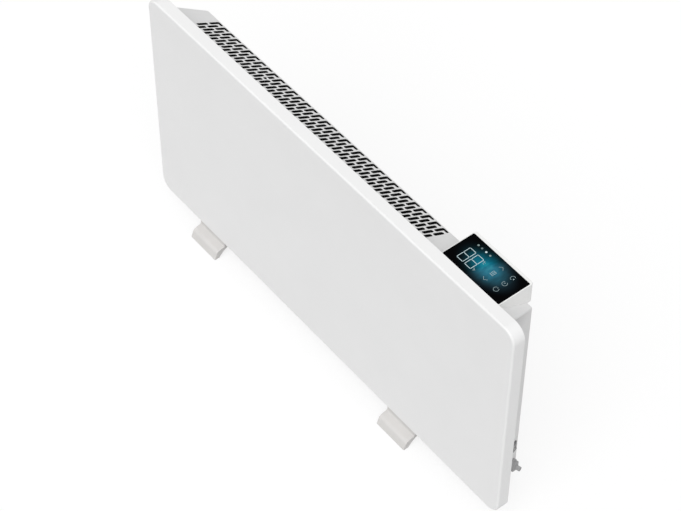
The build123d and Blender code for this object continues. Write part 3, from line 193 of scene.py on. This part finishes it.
# %% [markdown]
# ## Tools for a finish
# A finish is more than a colour: it has small swings of tone, a gloss that isn't quite even and
# a fine relief. These helpers build that from noise in the piece's own coordinates, which are
# metres, so a grain size is given in millimetres and stays true at any size of picture.

# %% Colours, noise and sums


def srgb(red, green, blue):
    """Colour as a screen shows it, 0 to 255, turned into the linear values of a shader."""
    def linear(value):
        share = value / 255
        return share / 12.92 if share <= 0.04045 else ((share + 0.055) / 1.055) ** 2.4
    return (linear(red), linear(green), linear(blue), 1.0)


def new_finish(name, roughness, metallic=0.0):
    """Empty material with one main shader and the piece's own coordinates."""
    finish = bpy.data.materials.new(name)
    finish.use_nodes = True
    tree = finish.node_tree
    skin = tree.nodes["Principled BSDF"]
    skin.inputs["Roughness"].default_value = roughness
    skin.inputs["Metallic"].default_value = metallic
    place = tree.nodes.new("ShaderNodeTexCoord").outputs["Object"]
    return finish, tree, skin, place


def grain(tree, place, size, detail=2.0, stretch=(1, 1, 1), soft=0.5):
    """Noise whose spots are about size metres wide, longer along an axis where stretch says."""
    spread = tree.nodes.new("ShaderNodeMapping")
    spread.inputs["Scale"].default_value = [1 / (size * s) for s in stretch]
    tree.links.new(place, spread.inputs["Vector"])
    noise = tree.nodes.new("ShaderNodeTexNoise")
    noise.inputs["Scale"].default_value = 1.0
    noise.inputs["Detail"].default_value = detail
    noise.inputs["Roughness"].default_value = soft
    tree.links.new(spread.outputs[0], noise.inputs["Vector"])
    return noise.outputs[0]


def ranged(tree, value, from_low, from_high, to_low, to_high):
    """The value moved from one range to another, held at its ends."""
    node = tree.nodes.new("ShaderNodeMapRange")
    tree.links.new(value, node.inputs["Value"])
    for name, number in (("From Min", from_low), ("From Max", from_high),
                         ("To Min", to_low), ("To Max", to_high)):
        node.inputs[name].default_value = number
    return node.outputs[0]


def calc(tree, operation, *values):
    """One sum on up to three values, each a number or a socket."""
    node = tree.nodes.new("ShaderNodeMath")
    node.operation = operation
    for socket, value in zip(node.inputs, values):
        if isinstance(value, (int, float)):
            socket.default_value = value
        else:
            tree.links.new(value, socket)
    return node.outputs[0]


def blended(tree, share, first, second):
    """Colour between two colours, each given as values or as a socket."""
    node = tree.nodes.new("ShaderNodeMix")
    node.data_type = "RGBA"
    tree.links.new(share, node.inputs["Factor"])
    for socket, colour in ((node.inputs[6], first), (node.inputs[7], second)):
        if isinstance(colour, (tuple, list)):
            socket.default_value = colour
        else:
            tree.links.new(colour, socket)
    return node.outputs[2]


# %% [markdown]
# ## Paint
# Most pieces get the same kind of skin with other numbers. Slow noise moves the colour between
# a darker and a lighter tone, and fine noise moves the gloss and lifts the surface a little.
# A metal that is drawn along the heater gets a noise that is stretched that way.

# %% Paint
tone_share = (0.3, 0.7)
fine_share = (0.25, 0.75)


def relief(tree, skin, height, strength, depth):
    """Fine bumps from a height value: strength 0 to 1, depth in metres."""
    bump = tree.nodes.new("ShaderNodeBump")
    bump.inputs["Strength"].default_value = strength
    bump.inputs["Distance"].default_value = depth
    tree.links.new(height, bump.inputs["Height"])
    tree.links.new(bump.outputs[0], skin.inputs["Normal"])


def paint(name, colour, low=0.94, high=1.03, size=18.0, roughness=0.45, swing=0.05, grain_size=0.8,
          bump=0.12, depth=0.02, metallic=0.0, specular=0.5, stretch=(1, 1, 1)):
    """A painted, moulded or metal skin. The colour swings from low to high times itself in spots
    of size mm. The roughness swings about its middle, and bump and depth give the relief's
    strength and its height in mm, both in spots of grain_size mm."""
    finish, tree, skin, place = new_finish(name, roughness, metallic)
    skin.inputs["Specular IOR Level"].default_value = specular
    wide = grain(tree, place, size * MM, 3.0)
    fine = grain(tree, place, grain_size * MM, 2.0, stretch)
    dark = tuple(c * low for c in colour[:3]) + (1.0,)
    light = tuple(min(1.0, c * high) for c in colour[:3]) + (1.0,)
    share = ranged(tree, wide, *tone_share, 0.0, 1.0)
    tree.links.new(blended(tree, share, dark, light), skin.inputs["Base Color"])
    tree.links.new(ranged(tree, fine, *fine_share, roughness - swing, roughness + swing),
                   skin.inputs["Roughness"])
    relief(tree, skin, fine, bump, depth * MM)
    return finish


def wear(names, finish):
    """Gives the named CAD pieces this finish."""
    for name in names:
        mesh = nodes[name].data
        mesh.materials.clear()
        mesh.materials.append(finish)


# %% [markdown]
# ## White enamel
# The panel and the casing are steel with a baked powder coat: white, satin, with a very fine
# orange peel. The casing's white is set a touch darker than the panel's as painted shade on its
# sloped top, and inside the casing the coat gives way to near-black painted shade, so that the
# outlet slots look black. One shader holds both: the depth of a point below the casing's outer
# skin says whether it gets the coat or the painted shade. The skin is five planes that meet in
# round folds, so near a fold the reaches past its planes add up by their squares.

# %% White enamel
panel_white = srgb(239, 239, 239)
# the casing's white is a touch darker than the panel's: painted shade on its sloped top
casing_shaded_white = srgb(229, 229, 229)
coat_roughness = 0.42
coat_gloss = (0.38, 0.47)
coat_specular = 0.35
coat_shade = 0.985            # the coat's darker tone
coat_cloud = 120.0 * MM       # width of its clouds
dust_size = 0.35 * MM
peel_size = 1.6 * MM
peel_strength = 0.10
peel_depth = 0.03 * MM
coat_limit = 0.15 * MM        # how far below the skin the coat reaches
coat_fade = 0.1 * MM
fold_radius = 3.0 * MM
# near-black painted shade for the casing's inside, seen through the outlet slots
inside_painted_shade = srgb(26, 26, 27)
inside_shade_mottle = 9.0 * MM         # width of the mottle in the painted shade inside
inside_shade_mottle_light = 1.5        # their lighter tone
inside_shade_roughness = 0.7


def powder_coat(name, colour, walls=()):
    """Satin powder coat, and near-black painted shade wherever the point lies behind all the walls."""
    finish, tree, skin, place = new_finish(name, coat_roughness)
    skin.inputs["Specular IOR Level"].default_value = coat_specular
    wide = grain(tree, place, coat_cloud, 3.0)
    peel = grain(tree, place, peel_size, 1.0)
    dust = grain(tree, place, dust_size, 2.0)
    dark = tuple(c * coat_shade for c in colour[:3]) + (1.0,)
    coated = blended(tree, ranged(tree, wide, 0.35, 0.65, 0.0, 1.0), dark, colour)
    gloss = ranged(tree, dust, *tone_share, *coat_gloss)
    if walls:
        squares = 0.0
        for normal, distance in walls:
            dot = tree.nodes.new("ShaderNodeVectorMath")
            dot.operation = "DOT_PRODUCT"
            tree.links.new(place, dot.inputs[0])
            dot.inputs[1].default_value = normal
            past = calc(tree, "SUBTRACT", dot.outputs["Value"], distance - fold_radius)
            past = calc(tree, "MAXIMUM", past, 0.0)
            squares = calc(tree, "ADD", calc(tree, "MULTIPLY", past, past), squares)
        above = calc(tree, "SUBTRACT", calc(tree, "SQRT", squares), fold_radius)
        # 1 where the painted shade inside the casing takes over from the coat
        painted_shade_share = ranged(tree, above, -coat_limit - coat_fade, -coat_limit, 1.0, 0.0)
        shade_mottle = grain(tree, place, inside_shade_mottle, 4.0)
        lighter_inside_shade = tuple(c * inside_shade_mottle_light for c in inside_painted_shade[:3]) + (1.0,)
        inside_shade_colour = blended(tree, ranged(tree, shade_mottle, *tone_share, 0.0, 1.0), inside_painted_shade, lighter_inside_shade)
        coated = blended(tree, painted_shade_share, coated, inside_shade_colour)
        gloss = calc(tree, "MAXIMUM", gloss, calc(tree, "MULTIPLY", painted_shade_share, inside_shade_roughness))
    tree.links.new(coated, skin.inputs["Base Color"])
    tree.links.new(gloss, skin.inputs["Roughness"])
    relief(tree, skin, peel, peel_strength, peel_depth)
    return finish


panel_enamel = powder_coat("panel_powder_coat", panel_white)
# the casing's coat carries both painted shades: its darker white and the near-black inside
casing_coat_and_shade = powder_coat("casing_coat_with_painted_shade", casing_shaded_white, casing_walls)
wear(["front_panel"], panel_enamel)
wear(["rear_casing"], casing_coat_and_shade)
print("coated: front_panel, rear_casing")

# %% [markdown]
# ## White mouldings
# The control box and the feet are injection-moulded plastic. A spark-eroded mould leaves a fine
# even grain, and the plastic is a touch warmer than the enamel. The feet are darkened below the
# box's white as painted shade from the panel above them, and they are less glossy than the box.

# %% White mouldings
# after the colour: low and high tone, size, roughness and its swing, grain size, bump, depth
box_plastic = paint("box_moulding", srgb(239, 239, 238), 0.985, 1.0, 40.0, 0.40, 0.04, 0.45, 0.14, 0.02)
# the feet's grey is painted shade from the panel above them
foot_plastic_painted_shade = paint("foot_moulding_painted_shade", srgb(212, 210, 208), 0.975, 1.0, 30.0, 0.48, 0.05, 0.6, 0.2, 0.03)
wear(["control_box"], box_plastic)
wear(["left_foot", "right_foot"], foot_plastic_painted_shade)
print("moulded: control_box, left_foot, right_foot")

# %% [markdown]
# ## Switch, gland and rubber
# The mains switch is a dark grey moulding and the cable gland a light grey one, both with a satin
# face. The bush in the gland is light grey rubber. The pads under the feet, the gasket round the
# glass and the grommets are black rubber, which is duller still and softly mottled.

# %% Switch, gland and rubber
switch_plastic = paint("switch_moulding", srgb(96, 96, 98), 0.93, 1.05, 6.0, 0.38, 0.05, 0.35, 0.15, 0.02)
rocker_plastic = paint("rocker_moulding", srgb(118, 118, 120), 0.94, 1.04, 6.0, 0.33, 0.05, 0.35, 0.12, 0.02)
gland_plastic = paint("gland_moulding", srgb(164, 164, 165), 0.93, 1.04, 6.0, 0.42, 0.05, 0.4, 0.18, 0.02)
bush_rubber = paint("bush_rubber", srgb(178, 178, 179), 0.9, 1.05, 4.0, 0.62, 0.06, 0.5, 0.25, 0.03)
pad_rubber = paint("pad_rubber", srgb(44, 44, 45), 0.88, 1.06, 5.0, 0.75, 0.06, 0.5, 0.3, 0.04)
wear(["rocker_switch_body"], switch_plastic)
wear(["rocker"], rocker_plastic)
wear(["gland_body", "gland_cap", "gland_locknut"], gland_plastic)
wear(["gland_bush"], bush_rubber)
wear(["foot_pads", "glass_gasket", "lead_grommets"], pad_rubber)
print("switch, gland and rubber pieces are dressed")

# %% [markdown]
# ## Metals
# Screws and brackets are zinc plated: a cool grey with cloudy patches. The element is plain
# aluminium, drawn along the heater, so its grain runs along X, and the rivets are aluminium too.
# The shield shows through the outlet slots, so it is painted a flat black as painted shade, which
# keeps the slots black from end to end. The rod has turned brown-grey from heat, and the studs,
# blades and clamp screws are brass.

# %% Metals
along_x = (40, 1, 1)
zinc = paint("zinc_plate", srgb(186, 187, 186), 0.86, 1.08, 3.0, 0.36, 0.08, 0.5, 0.12, 0.02, 1.0)
sheet_zinc = paint("zinc_sheet", srgb(176, 178, 178), 0.84, 1.1, 14.0, 0.42, 0.09, 0.8, 0.12, 0.02, 1.0)
drawn_aluminium = paint("drawn_aluminium", srgb(200, 201, 203), 0.93, 1.04, 12.0, 0.34, 0.07, 0.3, 0.25,
                        0.02, 1.0, 0.5, along_x)
# the shield's near black is painted shade seen through the outlet slots
shield_painted_shade = paint("shield_painted_shade_black", srgb(34, 34, 35), 0.88, 1.1, 22.0, 0.72, 0.08, 0.5, 0.2, 0.02, 0.0, 0.15)
heat_tint = paint("oxidised_rod", srgb(120, 106, 94), 0.8, 1.12, 16.0, 0.45, 0.08, 0.5, 0.2, 0.02, 1.0)
brass = paint("dull_brass", srgb(196, 160, 92), 0.86, 1.06, 3.0, 0.34, 0.08, 0.4, 0.12, 0.02, 1.0)
wear(["casing_screws", "bracket_screws", "control_box_screws", "foot_screws", "board_screws",
      "terminal_block_screw", "earth_screw"], zinc)
wear(["bay_partition", "element_bracket_left", "element_bracket_right"], sheet_zinc)
wear(["heating_element", "shield_rivets"], drawn_aluminium)
wear(["heat_shield"], shield_painted_shade)
wear(["heating_rod"], heat_tint)
wear(["rod_studs", "switch_blades", "board_spacers", "fuse_clips", "terminal_screws"], brass)
print("metal pieces are dressed")

# %% [markdown]
# ## Inside pieces
# The inside holds ceramic insulators, moulded component cases and leads covered in silicone.
# They are seldom seen, but a part that is opened up should look right inside as well.

# %% Inside pieces
ceramic = paint("fired_ceramic", srgb(236, 232, 222), 0.93, 1.02, 5.0, 0.62, 0.08, 0.3, 0.2, 0.02)
module_white = paint("light_guide_moulding", srgb(234, 234, 232), 0.97, 1.0, 8.0, 0.3, 0.05, 0.4, 0.1, 0.01)
nylon = paint("terminal_nylon", srgb(226, 225, 216), 0.95, 1.02, 6.0, 0.4, 0.05, 0.5, 0.14, 0.02)
case_black = paint("component_case", srgb(38, 38, 40), 0.85, 1.15, 5.0, 0.4, 0.08, 0.3, 0.2, 0.02)
relay_blue = paint("relay_case", srgb(42, 92, 160), 0.93, 1.04, 5.0, 0.28, 0.05, 0.4, 0.1, 0.01)
film_yellow = paint("film_capacitor_case", srgb(214, 170, 48), 0.94, 1.03, 5.0, 0.3, 0.05, 0.4, 0.1, 0.01)
lead_white = paint("silicone_lead", srgb(228, 226, 220), 0.93, 1.02, 12.0, 0.5, 0.06, 0.6, 0.2, 0.02)
lead_brown = paint("brown_lead", srgb(112, 74, 50), 0.9, 1.06, 12.0, 0.45, 0.06, 0.6, 0.2, 0.02)
lead_green = paint("earth_lead", srgb(96, 158, 72), 0.9, 1.06, 12.0, 0.45, 0.06, 0.6, 0.2, 0.02)
ribbon_grey = paint("ribbon_cable", srgb(178, 178, 180), 0.95, 1.03, 10.0, 0.42, 0.05, 0.5, 0.15, 0.02)
wear(["rod_insulators", "thermal_cutout", "board_fuse", "temperature_sensor"], ceramic)
wear(["digit_module", "icon_guide", "indicator_leds"], module_white)
wear(["board_connector", "terminal_block", "sensor_clip"], nylon)
wear(["standby_transformer", "smoothing_capacitor", "ribbon_plugs"], case_black)
wear(["power_relays"], relay_blue)
wear(["filter_capacitor"], film_yellow)
wear(["element_lead", "cutout_lead", "return_lead", "sensor_lead"], lead_white)
wear(["supply_leads", "switch_leads"], lead_brown)
wear(["earth_lead"], lead_green)
wear(["display_ribbon"], ribbon_grey)
print("inside pieces are dressed")

# %% [markdown]
# ## Circuit boards
# The two boards are glass fibre under a green mask. Where a copper track lies below it, the mask
# is a little lighter and stands up by the copper's thickness. The edges of a cell pattern make
# thin lines that part and meet as tracks do.

# %% Circuit boards
board_roughness = 0.3
track_pitch = 9.0 * MM
track_edge = (0.05, 0.08)     # shares of a cell from its edge: full track, bare mask
track_height = 0.04 * MM
weave_size = 0.7 * MM
mask_dark, mask_light = srgb(22, 74, 44), srgb(26, 84, 50)
track_green = srgb(52, 122, 78)


def circuit_board(name):
    """Green mask over glass fibre, with lighter tracks of copper where a cell pattern has edges."""
    finish, tree, skin, place = new_finish(name, board_roughness)
    cells = tree.nodes.new("ShaderNodeTexVoronoi")
    cells.feature = "DISTANCE_TO_EDGE"
    cells.inputs["Scale"].default_value = 1 / track_pitch
    tree.links.new(place, cells.inputs["Vector"])
    track = ranged(tree, cells.outputs["Distance"], *track_edge, 1.0, 0.0)
    weave = grain(tree, place, weave_size, 1.0)
    mask = blended(tree, ranged(tree, weave, *tone_share, 0.0, 1.0), mask_dark, mask_light)
    tree.links.new(blended(tree, track, mask, track_green), skin.inputs["Base Color"])
    relief(tree, skin, track, 0.3, track_height)
    return finish


board_mask = circuit_board("circuit_board")
wear(["power_board", "display_board"], board_mask)
print("boards are dressed")

# %% [markdown]
# ## Touch glass
# The glass is printed black from behind and lit in its middle by a teal glow that fades to
# black before it reaches the edges. The glow is light that leaves the glass, so it is emission.
# Two soft humps are added up, a wide pool in the middle and a dim one behind the digits. Noise
# streaks the sum, which then picks a colour from a ramp, and right of a slanted line a pale haze
# lies over the glow. The surface keeps a low reflection, as the real one is coated against glare.

# %% Touch glass
# each hump: middle from the glass's middle and reach, in millimetres, and its height
glow_humps = (((1.0, 2.0), (64.0, 40.0), 1.0), ((-36.0, 3.0), (36.0, 30.0), 0.08))
glow_ramp = ((0.0, srgb(0, 0, 0)), (0.15, srgb(3, 17, 21)), (0.30, srgb(5, 37, 44)),
             (0.50, srgb(7, 62, 74)), (0.68, srgb(8, 84, 101)), (0.86, srgb(13, 106, 128)),
             (1.0, srgb(30, 131, 149)))
glow_fall = 2.6               # how fast a hump falls towards its reach
haze = srgb(96, 126, 148)
haze_share = 0.21
haze_slant = 0.34
haze_start, haze_end = -6.0 * MM, 3.0 * MM
streak_size = 9.0 * MM
streak_stretch = (0.8, 2.0, 1.0)
streak_tones = (0.84, 1.14)
glass_black = srgb(1, 1, 2)
glass_black_light = srgb(3, 3, 4)
glass_gloss = (0.05, 0.10)
glass_specular = 0.015
smear_size = 14.0 * MM
glass_skin = 0.3 * MM         # the glow leaves the front face, not the edges below it


def hump(tree, apart, middle, reach, height):
    """Smooth hump of light on the glass: its height in the middle, nothing past its reach."""
    spread = 0.0
    for axis in (0, 1):
        offset = calc(tree, "SUBTRACT", apart.outputs[axis], glass_middle[axis] + middle[axis] * MM)
        share = calc(tree, "DIVIDE", offset, reach[axis] * MM)
        spread = calc(tree, "ADD", calc(tree, "MULTIPLY", share, share), spread)
    left = calc(tree, "MAXIMUM", calc(tree, "SUBTRACT", 1.0, spread), 0.0)
    return calc(tree, "MULTIPLY", calc(tree, "POWER", left, glow_fall), height)


def lit_glass(name):
    """Black glass with the soft glow of its display."""
    finish, tree, skin, place = new_finish(name, glass_gloss[0])
    skin.inputs["Specular IOR Level"].default_value = glass_specular
    smear = grain(tree, place, smear_size, 3.0)
    tree.links.new(ranged(tree, smear, *tone_share, *glass_gloss), skin.inputs["Roughness"])
    tree.links.new(blended(tree, smear, glass_black, glass_black_light), skin.inputs["Base Color"])
    apart = tree.nodes.new("ShaderNodeSeparateXYZ")
    tree.links.new(place, apart.inputs[0])
    light = 0.0
    for middle, reach, height in glow_humps:
        light = calc(tree, "ADD", hump(tree, apart, middle, reach, height), light)
    streak = grain(tree, place, streak_size, 4.0, streak_stretch, 0.6)
    light = calc(tree, "MULTIPLY", light, ranged(tree, streak, *tone_share, *streak_tones))
    ramp = tree.nodes.new("ShaderNodeValToRGB")
    tree.links.new(light, ramp.inputs[0])
    stops = ramp.color_ramp.elements
    while len(stops) < len(glow_ramp):
        stops.new(0.5)
    for stop, (position, colour) in zip(stops, glow_ramp):
        stop.position = position
        stop.color = colour
    slanted = calc(tree, "MULTIPLY_ADD", apart.outputs[1], -haze_slant, apart.outputs[0])
    haze_line = glass_middle.x - haze_slant * glass_middle.y
    hazy = ranged(tree, slanted, haze_line + haze_start, haze_line + haze_end, 0.0, haze_share)
    glow = blended(tree, calc(tree, "MULTIPLY", hazy, light), ramp.outputs[0], haze)
    on_face = calc(tree, "GREATER_THAN", apart.outputs[2], glass_face_z - glass_skin)
    tree.links.new(blended(tree, on_face, (0, 0, 0, 1), glow), skin.inputs["Emission Color"])
    skin.inputs["Emission Strength"].default_value = 1.0
    return finish


display_glass = lit_glass("display_glass")
wear(["touch_glass"], display_glass)
print("glass face at", round(glass_face_z / MM, 2), "mm")

# %% [markdown]
# ## Strokes for lit and printed marks
# Behind the glass shine two seven-segment digits, four dots, two unit marks, an arrow either side
# of a mode mark and three round key symbols, and the rocker carries its ON and OFF marks. They
# are thin strokes, so they are built as bars, arcs and discs a few hundredths of a millimetre
# thick. A sheet is the surface that they lie on: a point on it and three directions. Each
# helper adds its outline to one mesh, given in millimetres across and up the sheet.

# %% Stroke helpers
ink_lift = 0.015 * MM
ink_thick = 0.04 * MM
glass_sheet = (Vector((glass_middle.x, glass_middle.y, glass_face_z)),
               Vector((1, 0, 0)), Vector((0, 1, 0)), Vector((0, 0, 1)))


def plate(mesh, sheet, outline):
    """Adds a thin plate with this outline, lying on the sheet, to a mesh."""
    origin, across, up, out = sheet
    foot = [origin + (across * x + up * y) * MM + out * ink_lift for x, y in outline]
    low = [mesh.verts.new(point) for point in foot]
    high = [mesh.verts.new(point + out * ink_thick) for point in foot]
    mesh.faces.new(high)
    mesh.faces.new(list(reversed(low)))
    for i in range(len(outline)):
        j = (i + 1) % len(outline)
        mesh.faces.new((low[i], low[j], high[j], high[i]))


def bar(mesh, sheet, start, end, width, gap=0.0):
    """Straight stroke between two points, shortened by gap at both ends, with pointed ends."""
    a, b = Vector(start), Vector(end)
    run = (b - a).normalized()
    side = Vector((-run.y, run.x)) * width / 2
    tip = run * width / 2
    a += run * gap
    b -= run * gap
    plate(mesh, sheet, [a, a + tip - side, b - tip - side, b, b - tip + side, a + tip + side])


def arc(mesh, sheet, centre, radius, width, start, turn, steps=28):
    """Round stroke about a centre, from an angle through a turn, both in degrees."""
    for i in range(steps):
        corners = []
        for reach, share in ((radius - width / 2, i), (radius + width / 2, i),
                             (radius + width / 2, i + 1), (radius - width / 2, i + 1)):
            angle = radians(start + turn * share / steps)
            corners.append(Vector(centre) + Vector((cos(angle), sin(angle))) * reach)
        plate(mesh, sheet, corners)


def disc(mesh, sheet, centre, radius, steps=24):
    """Round dot."""
    plate(mesh, sheet, [Vector(centre) + Vector((cos(turn), sin(turn))) * radius
                        for turn in (2 * pi * i / steps for i in range(steps))])


# %% [markdown]
# ## Light of the marks
# The marks on the glass are lit from behind through a diffuser, so their light is nearly even
# and has no gloss of its own. Each set of strokes becomes one object that rides on the body
# whose piece carries it.

# %% Light of the marks
diffuser_cloud = 2.5 * MM
diffuser_dim = 0.86
diffuser_black = (0.02, 0.02, 0.02, 1.0)
diffuser_specular = 0.04


def glowing(name, colour):
    """Light of one colour, a little uneven as it is behind a diffuser."""
    finish, tree, skin, place = new_finish(name, 0.5)
    skin.inputs["Base Color"].default_value = diffuser_black
    skin.inputs["Specular IOR Level"].default_value = diffuser_specular
    cloud = grain(tree, place, diffuser_cloud, 2.0)
    dim = tuple(c * diffuser_dim for c in colour[:3]) + (1.0,)
    tree.links.new(blended(tree, ranged(tree, cloud, 0.35, 0.65, 0.0, 1.0), dim, colour),
                   skin.inputs["Emission Color"])
    skin.inputs["Emission Strength"].default_value = 1.0
    return finish


def thin_piece(name, mesh, finish, body):
    """Turns the strokes into one object that rides on a body."""
    bmesh.ops.recalc_face_normals(mesh, faces=mesh.faces)
    data = bpy.data.meshes.new(name)
    mesh.to_mesh(data)
    mesh.free()
    data.materials.append(finish)
    piece = bpy.data.objects.new(name, data)
    bpy.context.scene.collection.objects.link(piece)
    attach(piece, body)
    print(name, "has", len(data.polygons), "faces")
    return piece


# %% [markdown]
# ## Digits
# Each digit is seven bars with pointed ends, as in a moulded light guide, so that neighbouring
# bars meet in a mitre with a hair of black between them.

# %% Digits
digit_size = (13.0, 26.4)
digit_middles = ((-37.8, -5.2), (-20.4, -5.2))
digit_stroke = 0.85
digit_gap = 0.3
digit_light = glowing("digit_light", srgb(214, 236, 240))
digits = bmesh.new()
for centre_x, centre_y in digit_middles:
    left, right = centre_x - digit_size[0] / 2, centre_x + digit_size[0] / 2
    low, high = centre_y - digit_size[1] / 2, centre_y + digit_size[1] / 2
    for start, end in (((left, low), (right, low)), ((left, centre_y), (right, centre_y)),
                       ((left, high), (right, high)), ((left, low), (left, centre_y)),
                       ((left, centre_y), (left, high)), ((right, low), (right, centre_y)),
                       ((right, centre_y), (right, high))):
        bar(digits, glass_sheet, start, end, digit_stroke, digit_gap)
thin_piece("display_digits", digits, digit_light, "heater")

# %% [markdown]
# ## Dots and unit marks
# Four round dots show the heating level: one is lit fully and the others glow faintly. Beside the
# digits stand a degree mark with a C and one with an F.

# %% Dots and unit marks
dot_row = 20.6
dot_radius = 1.7
symbol_light = glowing("symbol_light", srgb(162, 184, 188))
for name, places, colour in (("outer_dots", (-40.4, -14.3), srgb(138, 156, 154)),
                             ("faint_dot", (-32.4,), srgb(106, 124, 126)),
                             ("bright_dot", (-23.2,), srgb(224, 240, 242))):
    dots = bmesh.new()
    for place_x in places:
        disc(dots, glass_sheet, (place_x, dot_row), dot_radius)
    thin_piece(name, dots, glowing(name + "_light", colour), "heater")

degree_radius, degree_stroke = 0.8, 0.45
letter_c_middle, letter_c_radius, letter_c_stroke = (-8.6, 4.0), 1.8, 0.55
letter_f_bars = (((-9.6, -18.2), (-9.6, -14.4)), ((-9.6, -14.6), (-7.2, -14.6)),
                 ((-9.6, -16.3), (-7.6, -16.3)))
letter_f_stroke = 0.6
marks = bmesh.new()
for degree_middle in ((-11.3, 6.6), (-11.0, -13.4)):
    arc(marks, glass_sheet, degree_middle, degree_radius, degree_stroke, 0, 360, 20)
arc(marks, glass_sheet, letter_c_middle, letter_c_radius, letter_c_stroke, 60, 240)
for start, end in letter_f_bars:
    bar(marks, glass_sheet, start, end, letter_f_stroke)
thin_piece("unit_marks", marks, symbol_light, "heater")

# %% [markdown]
# ## Key symbols
# An arrow up and an arrow down stand either side of a mode mark, and three round symbols at the
# right end stand for the open window, the timer and the standby key.

# %% Key symbols
key_stroke = 0.52
arrow_reach, arrow_rise = 4.6, 4.4
mode_x, mode_y = 13.6, 2.0
mode_stroke = 0.8
mode_pitch = 2.6              # between the three short lines, and half their length
mode_edge = 3.8               # from the middle to the two lines that close them off
mode_half = 3.6               # half the length of those two
key_x = 38.6
window_y, timer_y, standby_y = 18.3, 2.2, -14.4
window_radius, ring_radius = 3.9, 4.1
window_dot, window_dot_radius = (2.2, -0.6), 1.1
minute_hand, hour_hand = 2.4, 2.0
standby_line = (2.0, 4.8)

keys = bmesh.new()
for tip, way in (((14.2, 20.6), 1), ((13.6, -16.8), -1)):
    for side in (-1, 1):
        end = (tip[0] + arrow_reach * side, tip[1] - arrow_rise * way)
        bar(keys, glass_sheet, tip, end, key_stroke)
for offset in (-mode_pitch, 0.0, mode_pitch):
    bar(keys, glass_sheet, (mode_x + offset, mode_y - mode_pitch),
        (mode_x + offset, mode_y + mode_pitch), mode_stroke)
for offset in (-mode_edge, mode_edge):
    bar(keys, glass_sheet, (mode_x - mode_half, mode_y + offset),
        (mode_x + mode_half, mode_y + offset), mode_stroke)
arc(keys, glass_sheet, (key_x, window_y), window_radius, key_stroke, 60, 220)
disc(keys, glass_sheet, (key_x + window_dot[0], window_y + window_dot[1]), window_dot_radius)
arc(keys, glass_sheet, (key_x, timer_y), ring_radius, key_stroke, 130, 300)
bar(keys, glass_sheet, (key_x, timer_y), (key_x, timer_y + minute_hand), key_stroke)
bar(keys, glass_sheet, (key_x, timer_y), (key_x - hour_hand, timer_y), key_stroke)
arc(keys, glass_sheet, (key_x, standby_y), ring_radius, key_stroke, 115, 310)
bar(keys, glass_sheet, (key_x, standby_y + standby_line[0]),
    (key_x, standby_y + standby_line[1]), key_stroke)
thin_piece("key_symbols", keys, symbol_light, "heater")

# %% [markdown]
# ## ON and OFF marks
# The rocker has a white line on its upper half and a white ring on its lower half. They are
# printed, so they are strokes again, on the two flat halves of the rocker's face. The halves
# lean against each other, so each one's plane is found from its own faces, and the marks ride
# on the rocker.

# %% ON and OFF marks
end_wall_out = wall_plane("rear_casing", (0.96, 0.28, 0))[0]
on_lean, off_lean = -1.4, 19.4        # degrees of the two halves off the end wall
half_nearness = cos(radians(3))
on_length, on_stroke = 3.2, 0.6
off_radius, off_stroke = 1.4, 0.5
mark_ink = paint("mark_ink", srgb(232, 232, 230), 0.95, 1.0, 2.0, 0.5, 0.05, 0.2, 0.1, 0.005)
switch_marks = bmesh.new()
for lean in (on_lean, off_lean):
    way = end_wall_out + Vector((0, 0, 1)) * sin(radians(lean))
    half = faces_towards("rocker", way, half_nearness)
    area = sum(face.area for face in half)
    middle = sum((face.center * face.area for face in half), Vector((0, 0, 0))) / area
    out = wall_plane("rocker", way, half_nearness)[0]
    across = Vector((0, 0, 1)).cross(out).normalized()
    half_sheet = (middle, across, out.cross(across), out)
    if lean == on_lean:
        bar(switch_marks, half_sheet, (0, -on_length / 2), (0, on_length / 2), on_stroke)
    else:
        arc(switch_marks, half_sheet, (0, 0), off_radius, off_stroke, 0, 360)
    print("half of the rocker leans", lean, "degrees, area", round(area / MM ** 2, 1), "mm2")
thin_piece("switch_marks", switch_marks, mark_ink, "rocker")
